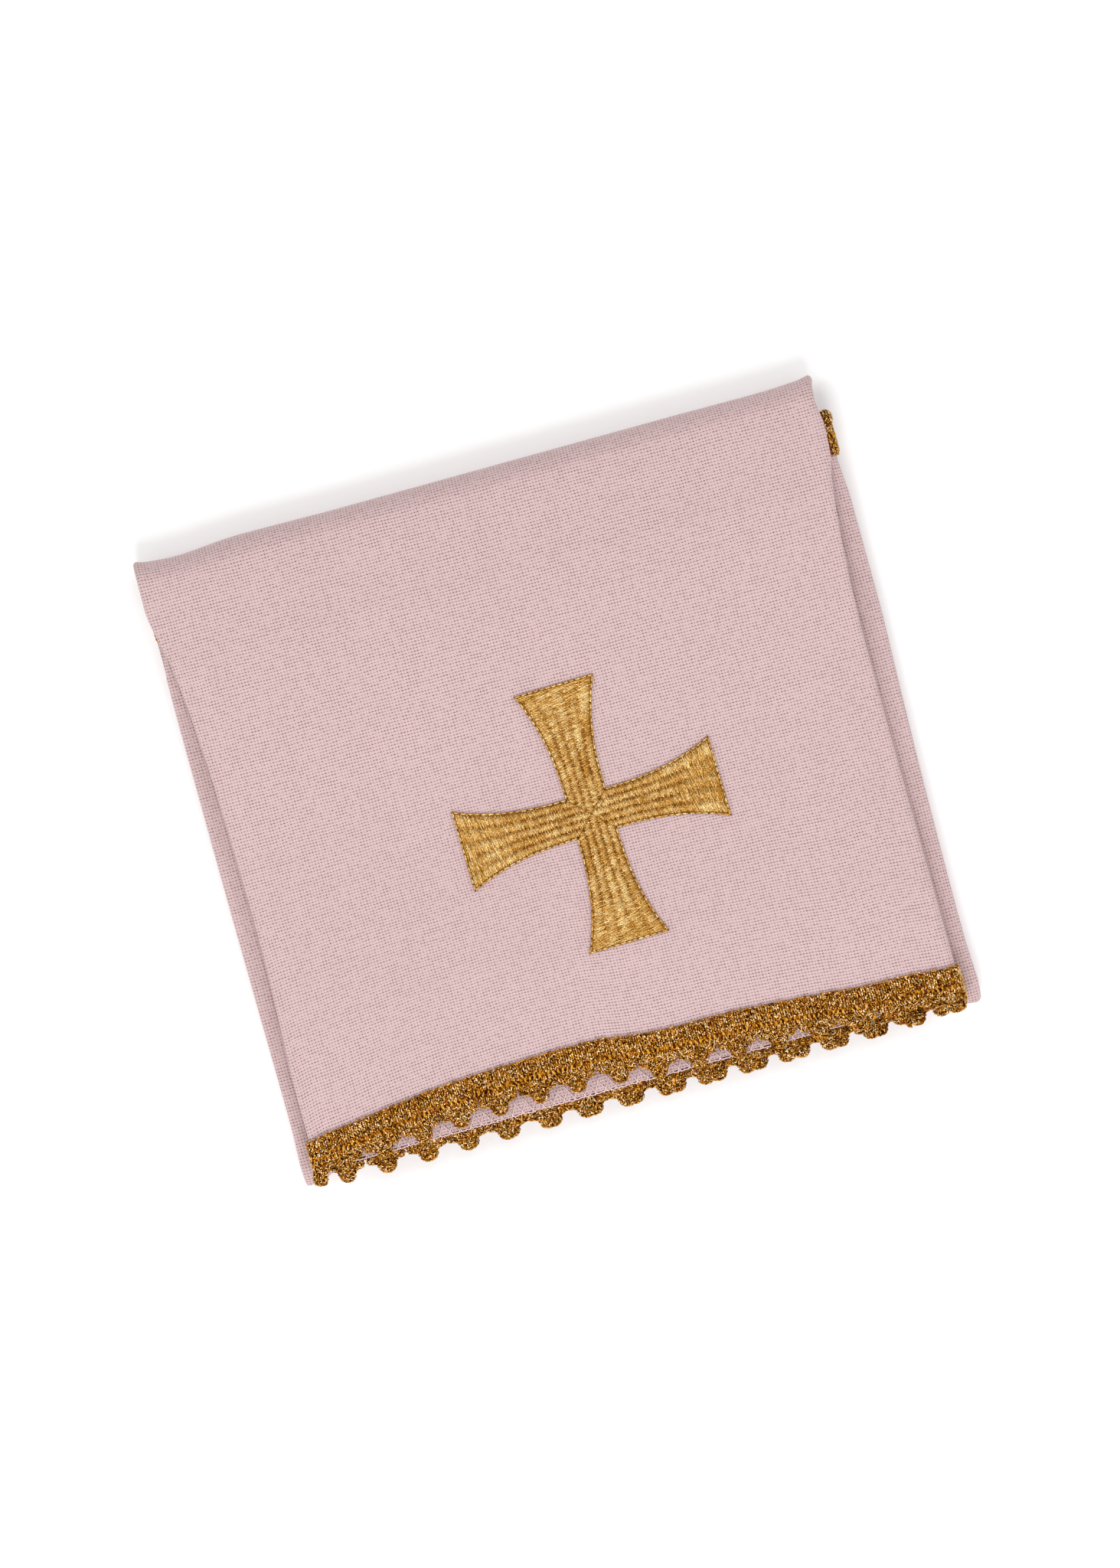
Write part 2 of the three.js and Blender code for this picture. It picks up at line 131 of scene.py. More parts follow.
class CrossSettings(bpy.types.PropertyGroup):
    """The embroidered cross."""

    centre_x: length("Middle across", "Middle of the cross, across the panel", 6.95)
    centre_y: length("Middle along", "Middle of the cross, along the panel", -11.75)
    askew: angle("Askew", "How far the cross stands askew to the fold", 1)
    arm: length("Arm", "Length of an arm from the middle", 38.6)
    arm_end: length("Arm end", "Half width at the end of an arm", 11.9)
    arm_waist: length("Arm waist", "Half width at the crossing", 5.95)
    flare: FloatProperty(name="Flare", description="How late the arms flare", default=2.4, min=1, max=4)
    columns: IntProperty(
        name="Columns", description="Rows of satin stitch along an arm", default=5, min=3, max=9
    )
    ridge: length("Ridge", "Rise of each row of satin stitch over its edges", 0.85)
    stitch_step: length("Stitch step", "Distance from one satin stitch to the next", 0.4)
    thread: length("Thread", "Thickness of the silky thread", 0.42)
    outline_step: length("Outline step", "Distance between the needle holes of the outline", 1.9)
    # Painted glint and painted shade: the bright and dark ends of the thread's colour ramp; the shade lies
    # between the stitches
    painted_glint: colour("Glint", "Colour of the thread where it catches light", "#FFEAB0")
    gold: colour("Gold", "Colour of the thread", "#CA9843")
    shade: colour("Shade", "Colour of the thread between the stitches", "#A06C1E")


class StageSettings(bpy.types.PropertyGroup):
    """The floor, the lights and the camera."""

    pixel: length("Pixel", "Real size of one pixel of the photograph", 0.221)
    lens: FloatProperty(name="Lens", description="Focal length of the camera in millimetres", default=200)
    turn: angle("Turn", "How far the veil lies turned in the picture", 15.5)
    look_x: length("Look across", "Where the camera looks, across the veil", -0.94)
    look_y: length("Look along", "Where the camera looks, along the veil", 0.18)
    look_z: length("Look height", "Height that the camera is focused on", 12.5)
    key: FloatProperty(name="Key light", description="Power of the main soft light in watts", default=11.6)
    fill: FloatProperty(name="Fill light", description="Power of the two side lights in watts", default=3.8)
    sky: FloatProperty(name="Sky", description="Strength of the even light from all round", default=0.7)
    floor: colour("Floor", "Colour of the pale floor", "#FBFBFB")


class VeilSettings(bpy.types.PropertyGroup):
    """All settings of the veil."""

    linen: PointerProperty(type=LinenSettings)
    edging: PointerProperty(type=EdgingSettings)
    cross: PointerProperty(type=CrossSettings)
    stage: PointerProperty(type=StageSettings)


def in_millimetres(group):
    """The settings of a group by name, with every length in millimetres."""
    values = {}
    for prop in group.bl_rna.properties:
        if prop.identifier not in ("rna_type", "name"):
            value = getattr(group, prop.identifier)
            values[prop.identifier] = value / MM if getattr(prop, "unit", "") == "LENGTH" else value
    return SimpleNamespace(**values)


# How the linen lies. Lengths are in millimetres from here on, and the tables have one row for each
# place where a fold, an edge or a height changes.

def table(columns, *rows):
    """Rows of a table by the names of its columns."""
    return [dict(zip(columns.split(), row)) for row in rows]


# Outermost lines of the side folds on each layer of the stack
FRONT_SIDES = table(
    "y left right",
    (-89.6, -97.0, 96.5),
    (-70, -96.9, 96.5),
    (-22, -95.5, 96.5),
    (18, -95.9, 96.6),
    (43, -96.9, 97.7),
    (62, -98.7, 99.6),
    (71, -100.6, 101.4),
    (79, -101.7, 101.8),
    (86, -101.6, 101.0),
    (93, -101.7, 102.1),
)
MIDDLE_SIDES = {"left": -101.2, "right": 101.4}
TUCKED_SIDES = table(
    "y left right",
    (-89.6, -101.6, 102.1),
    (-75, -101.1, 101.6),
    (-33, -101.3, 102.1),
    (0, -101.4, 103.0),
    (28, -101.4, 103.8),
    (57, -101.2, 103.8),
    (67, -99.9, 103.1),
    (76, -99.9, 103.1),
)

# How far the front edge is drawn up, and how far that reaches back over the panel and in under the flaps
FRONT_ARCH = table(
    "x rise",
    (-96, 1.4),
    (-92, 2.5),
    (-86, 3.1),
    (-70, 5.1),
    (-50, 7.0),
    (-22, 7.8),
    (-10, 7.7),
    (0, 6.3),
    (6, 5.7),
    (18, 5.2),
    (28, 5.1),
    (52, 3.6),
    (70, 1.9),
    (84, 1.5),
    (94, 0.6),
)
ARCH_FADE = 110
FLAP_FADE = 10

# How far the top and bottom folds stray outward from a straight line
TOP_WANDER = table(
    "x stray",
    (-101.5, 0.8),
    (-98, 0),
    (-89, -0.7),
    (-70, 0.4),
    (-40, 0),
    (60, -0.1),
    (84, -0.3),
    (99, 0.3),
    (101.6, 1.2),
)
BOTTOM_WANDER = table(
    "x stray",
    (-101.6, 3.4),
    (-97, 3.1),
    (-92, 1.2),
    (-80, 0),
    (76, 0),
    (90, 1.8),
    (98, 3.5),
    (101.6, 3.8),
)

# Soft dents and swellings of the front panel, fine rumples, and its droop towards the side folds
SOFT_WAVES = table(
    "x y along across lift",
    (-76, 40, 60, 11, -0.5),
    (-60, -62, 12, 26, -0.4),
    (62, 10, 60, 16, 0.4),
)
WAVE_FADE = 25
RUMPLE = 0.1
RUMPLE_SIZE = 13
SIDE_DROOP = 0.35
SIDE_DROOP_REACH = 7


def mix(a, b, share):
    return a + (b - a) * share


def smooth_step(value, low, high):
    share = min(max((value - low) / (high - low), 0), 1)
    return share * share * (3 - 2 * share)


def through(rows, key, column, at):
    """A smooth curve through the rows of a table that never overshoots them."""
    last = len(rows) - 1
    place = min(max(at, rows[0][key]), rows[last][key])

    def rise(k):
        return (rows[k + 1][column] - rows[k][column]) / (rows[k + 1][key] - rows[k][key])

    def slope(k):
        if k in (0, last) or rise(k - 1) * rise(k) <= 0:
            return 0
        return 2 * rise(k - 1) * rise(k) / (rise(k - 1) + rise(k))

    k = 0
    while k < last - 1 and place > rows[k + 1][key]:
        k += 1
    span = rows[k + 1][key] - rows[k][key]
    s = (place - rows[k][key]) / span
    bend = span * (s * (1 - s) ** 2 * slope(k) - s ** 2 * (1 - s) * slope(k + 1))
    return mix(rows[k][column], rows[k + 1][column], s * s * (3 - 2 * s)) + bend


def between(rows, key, column, at):
    """A straight line from row to row of a table."""
    k = 1
    while k < len(rows) - 1 and at > rows[k][key]:
        k += 1
    a, b = rows[k - 1], rows[k]
    return mix(a[column], b[column], (at - a[key]) / (b[key] - a[key]))


def sides(rows, y):
    return {"left": through(rows, "y", "left", y), "right": through(rows, "y", "right", y)}


def stray(draw, most):
    """A random stray to either side."""
    return draw.uniform(-most, most)


class FoldedVeil:
    """Where every point of the folded linen lies."""

    def __init__(self, linen):
        self.linen = linen
        pair = linen.flap_drop + linen.flap_step
        self.middle_z = linen.solid / 2
        self.tucked_z = self.middle_z + 2 * pair + linen.solid + linen.layer_gap
        tucked_end_z = self.middle_z + pair + linen.flap_drop + 2 * linen.edged_step
        front_z = self.tucked_z + linen.solid + linen.layer_gap + pair
        front_edge_z = self.tucked_z + linen.flap_drop + 2 * linen.edged_step
        over_tucked_z = tucked_end_z + linen.edged_step + pair
        self.front_lie = table(
            "y z step",
            (-79, front_edge_z, linen.edged_step),
            (-5, front_z, linen.flap_step),
            (62, over_tucked_z, linen.flap_step),
        )
        self.tucked_lie = table(
            "y z step",
            (28, self.tucked_z, linen.flap_step),
            (66, tucked_end_z, linen.edged_step),
        )
        self.top_radius = (over_tucked_z - self.middle_z) / 2
        self.bottom_radius = (self.tucked_z - self.middle_z) / 2
        self.top_centre = linen.top_fold - self.top_radius - linen.solid / 2
        self.bottom_centre = linen.bottom_fold + self.bottom_radius + linen.solid / 2

    def arch(self, x, y):
        """How far a point of the front panel is drawn up by the arch of its edge."""
        fade = 1 - smooth_step(y - self.linen.front_edge, 0, ARCH_FADE)
        return through(FRONT_ARCH, "x", "rise", x) * fade

    def wave(self, x, y):
        """Lift of the soft waves and rumples at a point of the front panel."""
        fade = smooth_step(self.top_centre - y, 0, WAVE_FADE)
        lift = RUMPLE * noise.noise(Vector((x, y, 0)) / RUMPLE_SIZE)
        for wave in SOFT_WAVES:
            away = ((x - wave["x"]) / wave["across"]) ** 2 + ((y - wave["y"]) / wave["along"]) ** 2
            lift += wave["lift"] * math.exp(-away)
        return fade * lift

    def row(self, run, share):
        """One row across the folded linen: its height, which way is out, and its side folds."""
        linen = self.linen
        top_round = math.pi * self.top_radius
        bottom_round = math.pi * self.bottom_radius
        step = linen.flap_step
        wander = None
        out_y, out_z = 0, 1
        if run == "front":
            y = mix(linen.front_edge, self.top_centre, share)
            z = through(self.front_lie, "y", "z", y)
            step = through(self.front_lie, "y", "step", y)
            travel = y - self.top_centre
            edges = sides(FRONT_SIDES, y)
        elif run == "top_fold":
            out_y, out_z = math.sin(math.pi * share), math.cos(math.pi * share)
            y = self.top_centre + self.top_radius * out_y
            z = self.middle_z + self.top_radius * (1 + out_z)
            travel = top_round * share
            above = sides(FRONT_SIDES, mix(self.top_centre, linen.top_fold, min(1, 2 * share)))
            under = max(0, 2 * share - 1)
            edges = {side: mix(above[side], MIDDLE_SIDES[side], under) for side in above}
            wander = TOP_WANDER
        elif run == "middle":
            y = mix(self.top_centre, self.bottom_centre, share)
            z = self.middle_z
            travel = top_round + self.top_centre - y
            out_z = -1
            edges = MIDDLE_SIDES
        elif run == "bottom_fold":
            out_y, out_z = -math.sin(math.pi * share), -math.cos(math.pi * share)
            y = self.bottom_centre + self.bottom_radius * out_y
            z = self.middle_z + self.bottom_radius * (1 + out_z)
            travel = top_round + self.top_centre - self.bottom_centre + bottom_round * share
            edges = {side: mix(MIDDLE_SIDES[side], TUCKED_SIDES[0][side], share) for side in MIDDLE_SIDES}
            wander = BOTTOM_WANDER
        else:
            y = mix(self.bottom_centre, linen.tucked_edge, share)
            z = through(self.tucked_lie, "y", "z", y)
            step = through(self.tucked_lie, "y", "step", y)
            travel = top_round + bottom_round + self.top_centre - 2 * self.bottom_centre + y
            edges = sides(TUCKED_SIDES, y)
        row = SimpleNamespace(y=y, z=z, out_y=out_y, out_z=out_z, travel=travel, wander=wander)
        row.is_front = run == "front"
        row.left_r = linen.flap_drop / 2
        row.right_r = (linen.flap_drop + step) / 2
        row.left_x = edges["left"] + linen.solid / 2 + row.left_r
        row.right_x = edges["right"] - linen.solid / 2 - row.right_r
        row.panel = row.right_x - row.left_x
        row.flap = (linen.side - row.panel - math.pi * (row.left_r + row.right_r)) / 2
        return row

    def place(self, row, zone, share, lift, along=0):
        """A point moved outward by lift, with its distance across the flat cloth from the panel's middle."""
        is_left = zone.startswith("left")
        hand = -1 if is_left else 1
        fold_x = row.left_x if is_left else row.right_x
        r = row.left_r if is_left else row.right_r
        wrap = math.pi * (r + self.linen.thickness / 2)
        turned = 1 - share if is_left else share
        away = 0
        wave = 0
        if zone == "panel":
            x = mix(row.left_x, row.right_x, share)
            fold_x = x
            n = 0
            out_x, out_n = 0, 1
            across = x
            wave = self.wave(x, row.y) if row.is_front else 0
        elif zone.endswith("fold"):
            out_x, out_n = hand * math.sin(math.pi * turned), math.cos(math.pi * turned)
            x = fold_x + r * out_x
            n = r * (out_n - 1)
            across = fold_x + hand * wrap * turned
        else:
            away = row.flap * turned
            x = fold_x - hand * away
            n = -2 * r
            out_x, out_n = 0, -1
            across = fold_x + hand * (wrap + away)
        out = n + out_n * lift
        y = row.y + along + self.drawn(row, x, fold_x, away) + out * row.out_y
        point = Vector((x + out_x * lift, y, row.z + wave + out * row.out_z))
        return point - Vector((self.linen.middle_x, self.linen.middle_y, 0)), across

    def drawn(self, row, x, fold_x, away):
        """How far a point strays along Y: with the line of a fold, or with the arch of the front edge."""
        if row.wander:
            return through(row.wander, "x", "stray", x) * row.out_y
        if row.is_front:
            return self.arch(fold_x, row.y) * (1 - smooth_step(away, 0, FLAP_FADE))
        return 0

    def slack(self, row, x):
        """How much sooner the weave starts where the bottom fold is pulled out, to keep it unstretched."""
        pulled = through(BOTTOM_WANDER, "x", "stray", x)
        if row.wander is BOTTOM_WANDER:
            return -pulled * row.out_y if row.out_z > 0 else pulled * (2 + row.out_y)
        if row.is_front or row.wander or row.out_z > 0:
            return 0
        return 2 * pulled * (self.top_centre - row.y) / (self.top_centre - self.bottom_centre)

    def front_face(self, x, y):
        """A point on the front panel's upper face, by its place in the folded veil."""
        unarched = y - self.arch(x, y)
        z = through(self.front_lie, "y", "z", unarched) + self.wave(x, unarched) + self.linen.thickness / 2
        return Vector((x - self.linen.middle_x, y - self.linen.middle_y, z))

    def spread(self, row, distance):
        """The zone and share at a distance across one row from the free edge of the left flap."""
        stretches = [
            ("left_flap", row.flap),
            ("left_fold", math.pi * row.left_r),
            ("panel", row.panel),
            ("right_fold", math.pi * row.right_r),
            ("right_flap", row.flap),
        ]
        for zone, size in stretches:
            if distance <= size or zone == "right_flap":
                return zone, min(max(distance / size, 0), 1)
            distance -= size


def the_fold(context):
    return FoldedVeil(in_millimetres(context.scene.chalice_veil.linen))


# Meshes

def put(name, data):
    """A new object in the scene, at the origin."""
    item = bpy.data.objects.new(name, data)
    bpy.context.scene.collection.objects.link(item)
    return item


def new_mesh(name, points, faces=()):
    """A mesh from points in millimetres."""
    mesh = bpy.data.meshes.new(name)
    mesh.from_pydata([tuple(p * MM for p in point) for point in points], [], faces)
    return mesh


def mark(mesh, name, values, kind="FLOAT", field="value"):
    """Values of one kind, stored on the points of a mesh."""
    mesh.attributes.new(name, kind, "POINT").data.foreach_set(field, values)


def own(piece):
    """Make a piece ride on the veil's body."""
    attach(piece, ROOT)


def add_piece(name, points, faces, material):
    """A smooth mesh object in one material, from points in millimetres."""
    mesh = new_mesh(name, points, faces)
    mesh.update()
    mesh.shade_smooth()
    mesh.set_sharp_from_angle(angle=SHARP_ANGLE)
    mesh.materials.append(material)
    piece = put(name, mesh)
    own(piece)
    return piece


def grid_faces(rows, columns):
    """Faces of a closed sheet whose outer grid of points comes first and its inner grid second."""
    def top(r, c):
        return r * columns + c

    def under(r, c):
        return (rows + r) * columns + c

    faces = []
    for r in range(rows - 1):
        for c in range(columns - 1):
            faces.append((top(r, c), top(r, c + 1), top(r + 1, c + 1), top(r + 1, c)))
            faces.append((under(r, c), under(r + 1, c), under(r + 1, c + 1), under(r, c + 1)))
        faces.append((top(r, 0), top(r + 1, 0), under(r + 1, 0), under(r, 0)))
        last = columns - 1
        faces.append((top(r + 1, last), top(r, last), under(r, last), under(r + 1, last)))
    for c in range(columns - 1):
        last = rows - 1
        faces.append((top(0, c + 1), top(0, c), under(0, c), under(0, c + 1)))
        faces.append((top(last, c), top(last, c + 1), under(last, c + 1), under(last, c)))
    return faces


# Stitches: one node tree bends a short thread and sets it on marked points

def add_node(tree, kind, values=None, **settings):
    """A node with its settings, whose inputs are values or links to sockets or to nodes' first sockets."""
    node = tree.nodes.new(kind)
    for name, value in settings.items():
        setattr(node, name, value)
    for key, value in (values or {}).items():
        source = value.outputs[0] if isinstance(value, bpy.types.Node) else value
        if isinstance(source, bpy.types.NodeSocket):
            tree.links.new(source, node.inputs[key])
        else:
            node.inputs[key].default_value = source
    return node


STITCH_INPUTS = {
    "Geometry": "NodeSocketGeometry",
    "Length": "NodeSocketFloat",
    "Thread": "NodeSocketFloat",
    "Bulge": "NodeSocketFloat",
    "Taper": "NodeSocketFloat",
    "Sides": "NodeSocketInt",
    "Bends": "NodeSocketInt",
    "Material": "NodeSocketMaterial",
}


def stitch_tree():
    """A tree that puts a bent thread on every point, turned and stretched by the points' own marks."""
    tree = bpy.data.node_groups.new("Stitches", "GeometryNodeTree")
    node = partial(add_node, tree)
    inputs = {}
    for name, kind in STITCH_INPUTS.items():
        inputs[name] = tree.interface.new_socket(name, in_out="INPUT", socket_type=kind).identifier
    tree.interface.new_socket("Geometry", in_out="OUTPUT", socket_type="NodeSocketGeometry")

    sizes = node("NodeGroupInput").outputs
    half = node("ShaderNodeMath", {0: sizes["Length"], 1: 0.5}, operation="MULTIPLY")
    back = node("ShaderNodeMath", {0: sizes["Length"], 1: -0.5}, operation="MULTIPLY")
    crest = node("ShaderNodeMath", {0: sizes["Bulge"], 1: 2}, operation="MULTIPLY")
    start = node("ShaderNodeCombineXYZ", {"X": back})
    middle = node("ShaderNodeCombineXYZ", {"Z": crest})
    end = node("ShaderNodeCombineXYZ", {"X": half})
    bow = node("GeometryNodeCurveQuadraticBezier", {
        "Resolution": sizes["Bends"], "Start": start, "Middle": middle, "End": end,
    })
    along = node("GeometryNodeSplineParameter")
    turn = node("ShaderNodeMath", {0: along.outputs["Factor"], 1: math.pi}, operation="MULTIPLY")
    swell = node("ShaderNodeMath", {0: turn}, operation="SINE")
    girth = node("ShaderNodeMapRange", {"Value": swell, "To Min": sizes["Taper"], "To Max": 1.0})
    # The crest mark runs from 0 at a thread's ends to 1 at its middle; the gold materials paint shade where
    # it is low
    marked = node("GeometryNodeStoreNamedAttribute", {"Geometry": bow, "Name": "crest", "Value": swell})
    tapered = node("GeometryNodeSetCurveRadius", {"Curve": marked, "Radius": girth})
    radius = node("ShaderNodeMath", {0: sizes["Thread"], 1: 0.5}, operation="MULTIPLY")
    ring = node("GeometryNodeCurvePrimitiveCircle", {"Resolution": sizes["Sides"], "Radius": radius})
    thread = node("GeometryNodeCurveToMesh", {"Curve": tapered, "Profile Curve": ring, "Fill Caps": True})
    turned = node("GeometryNodeInputNamedAttribute", {"Name": "turn"}, data_type="FLOAT_VECTOR")
    rotation = node("FunctionNodeEulerToRotation", {0: turned.outputs["Attribute"]})
    stretched = node("GeometryNodeInputNamedAttribute", {"Name": "stretch"}, data_type="FLOAT_VECTOR")
    placed = node("GeometryNodeInstanceOnPoints", {
        "Points": sizes["Geometry"], "Instance": thread,
        "Rotation": rotation, "Scale": stretched.outputs["Attribute"],
    })
    real = node("GeometryNodeRealizeInstances", {0: placed})
    soft = node("GeometryNodeSetShadeSmooth", {0: real})
    dressed = node("GeometryNodeSetMaterial", {"Geometry": soft, "Material": sizes["Material"]})
    node("NodeGroupOutput", {0: dressed})
    return tree, inputs


class Stitching:
    """Marks for stitches that are gathered first and then made into one piece."""

    def __init__(self):
        self.points = []
        self.turns = []
        self.stretches = []
        self.tones = []

    def add(self, point, along, out, tone=0.5, stretch=(1, 1, 1)):
        """A stitch at a point, lying along one direction with its bow standing out in another."""
        x = along.normalized()
        z = (out - out.dot(x) * x).normalized()
        y = z.cross(x)
        self.points.append(point)
        self.turns += Matrix((x, y, z)).transposed().to_euler()
        self.stretches += stretch
        # The tone mark: each stitch's own random tone, with painted sheen or painted shade added where the
        # caller paints it
        self.tones.append(tone)

    def make(self, name, material, slot, length, thread, bulge, taper=0.6, sides=5, bends=4):
        """The stitches as one plain mesh piece; sizes are in millimetres."""
        tree, inputs = stitch_tree()
        mesh = new_mesh(name, self.points)
        mark(mesh, "turn", self.turns, "FLOAT_VECTOR", "vector")
        mark(mesh, "stretch", self.stretches, "FLOAT_VECTOR", "vector")
        mark(mesh, "tone", self.tones)
        piece = put(name, mesh)
        modifier = piece.modifiers.new("Stitches", "NODES")
        modifier.node_group = tree
        values = {
            "Length": length * MM, "Thread": thread * MM, "Bulge": bulge * MM, "Taper": taper,
            "Sides": sides, "Bends": bends, "Material": material,
        }
        for key, value in values.items():
            modifier[inputs[key]] = value
        graph = bpy.context.evaluated_depsgraph_get()
        made = bpy.data.meshes.new_from_object(
            piece.evaluated_get(graph), preserve_all_data_layers=True, depsgraph=graph
        )
        piece.modifiers.clear()
        piece.data = made
        own(piece)


# Materials

def new_material(name):
    """An empty material and what adds nodes to it."""
    material = bpy.data.materials.new(name)
    material.use_nodes = True
    material.node_tree.nodes.clear()
    return material, partial(add_node, material.node_tree)


def finished(material, sockets):
    """The material with its shader, whose sockets are linked or set."""
    shader = add_node(material.node_tree, "ShaderNodeBsdfPrincipled", sockets)
    add_node(material.node_tree, "ShaderNodeOutputMaterial", {"Surface": shader})
    return material


def with_alpha(rgb):
    return (*rgb, 1.0)


# The weave: how widely its lines drift, each thread's level and sway, and how the holes and tones vary
DRIFT_SIZE = 16
DRIFT = 0.9
WARP = {"along": 1, "across": 0, "level": 0.45, "sway": 0.42}
WEFT = {"along": 0, "across": 1, "level": 0.6, "sway": -0.38}
HOLE_SIZES = (0.36, 0.64)
SLUB = 0.09
HOLE_TONE = 1.6
TONE_SUM = 4.6
WEAVE_TONES = (0.94, 1.06)
WEAVE_RELIEF = 0.25


def plain_woven_linen(linen):
    """Plain-woven linen: eleven threads to the centimetre, with a hole painted dark as shade between every
    four.
    """
    material, node = new_material("plain_woven_linen")
    per_thread = 1 / (linen.weave * MM)
    uv = node("ShaderNodeUVMap", uv_map="weave")
    drift = node("ShaderNodeTexNoise", {"Vector": uv, "Scale": 1 / (DRIFT_SIZE * MM), "Detail": 1.0})
    strayed = node("ShaderNodeVectorMath", {
        0: drift.outputs["Color"], 1: (DRIFT * MM, DRIFT * MM, 0), 2: uv,
    }, operation="MULTIPLY_ADD")
    grid = node("ShaderNodeVectorMath", {0: strayed, 1: (per_thread,) * 3}, operation="MULTIPLY")
    axes = node("ShaderNodeSeparateXYZ", {0: grid}).outputs
    heights = []
    tones = []
    for thread in (WARP, WEFT):
        along, across = axes[thread["along"]], axes[thread["across"]]
        number = node("ShaderNodeMath", {0: across}, operation="ROUND")
        off = node("ShaderNodeMath", {0: across, 1: number}, operation="SUBTRACT")
        aside = node("ShaderNodeMath", {0: off, 1: math.pi}, operation="MULTIPLY")
        round_top = node("ShaderNodeMath", {0: aside}, operation="COSINE")
        travel = node("ShaderNodeMath", {0: along, 1: number}, operation="ADD")
        phase = node("ShaderNodeMath", {0: travel, 1: math.pi}, operation="MULTIPLY")
        dip = node("ShaderNodeMath", {0: phase}, operation="COSINE")
        sway, level = thread["sway"], thread["level"]
        lift = node("ShaderNodeMath", {0: dip, 1: sway, 2: level}, operation="MULTIPLY_ADD")
        heights.append(node("ShaderNodeMath", {0: round_top, 1: lift}, operation="MULTIPLY"))
        tones.append(node("ShaderNodeTexWhiteNoise", {"W": number}, noise_dimensions="1D"))
    height = node("ShaderNodeMath", {0: heights[0], 1: heights[1]}, operation="MAXIMUM")
    hole = node("ShaderNodeVectorMath", {0: grid}, operation="FLOOR")
    chance = node("ShaderNodeTexWhiteNoise", {"Vector": hole}, noise_dimensions="2D")
    openness = node("ShaderNodeMapRange", {"Value": chance, "To Min": HOLE_SIZES[0], "To Max": HOLE_SIZES[1]})
    # Painted shade: where the weave lies low between the threads, the thread colour gives way to the hole
    # shade
    depth = node("ShaderNodeMapRange", {"Value": height, "From Max": openness})
    weave = node("ShaderNodeMix", {
        0: depth, 6: with_alpha(linen.hole_shade), 7: with_alpha(linen.thread),
    }, data_type="RGBA")
    both_tones = node("ShaderNodeMath", {0: tones[0], 1: tones[1]}, operation="ADD")
    slub = node("ShaderNodeTexNoise", {"Vector": grid, "Scale": SLUB, "Detail": 3.0})
    blotch = node("ShaderNodeMath", {0: both_tones, 1: slub}, operation="ADD")
    uneven = node("ShaderNodeMath", {0: chance, 1: HOLE_TONE, 2: blotch}, operation="MULTIPLY_ADD")
    value = node("ShaderNodeMapRange", {
        "Value": uneven, "From Max": TONE_SUM, "To Min": WEAVE_TONES[0], "To Max": WEAVE_TONES[1],
    })
    shade = node("ShaderNodeHueSaturation", {"Value": value, "Color": weave.outputs[2]})
    bump = node("ShaderNodeBump", {"Height": height, "Strength": 0.5, "Distance": WEAVE_RELIEF * MM})
    return finished(material, {
        "Base Color": shade, "Normal": bump, "Roughness": 0.85, "Specular IOR Level": 0.25,
        "Sheen Weight": 0.15, "Sheen Roughness": 0.5,
    })


# Length of the flecks on the sewing thread, and their colours
FLECK = 0.8
FLECK_DARK = "#CDA8A7"
FLECK_PALE = "#F3DEDB"


def overlock_thread():
    """Spun polyester sewing thread: smoother and paler than the linen that it binds."""
    material, node = new_material("spun_sewing_thread")
    place = node("ShaderNodeTexCoord")
    fleck = node("ShaderNodeTexNoise", {"Vector": place.outputs["Object"], "Scale": 1 / (FLECK * MM)})
    tint = node("ShaderNodeMix", {
        0: fleck, 6: with_alpha(linear(FLECK_DARK)), 7: with_alpha(linear(FLECK_PALE)),
    }, data_type="RGBA")
    return finished(material, {"Base Color": tint.outputs[2], "Roughness": 0.6})


# Where the gold's colours stand from painted shade to painted glint, and how many times darker the painted
# shade of its deepest folds is
SHADE_AT = 0.1
GOLD_AT = 0.5
DEEPENED = 3


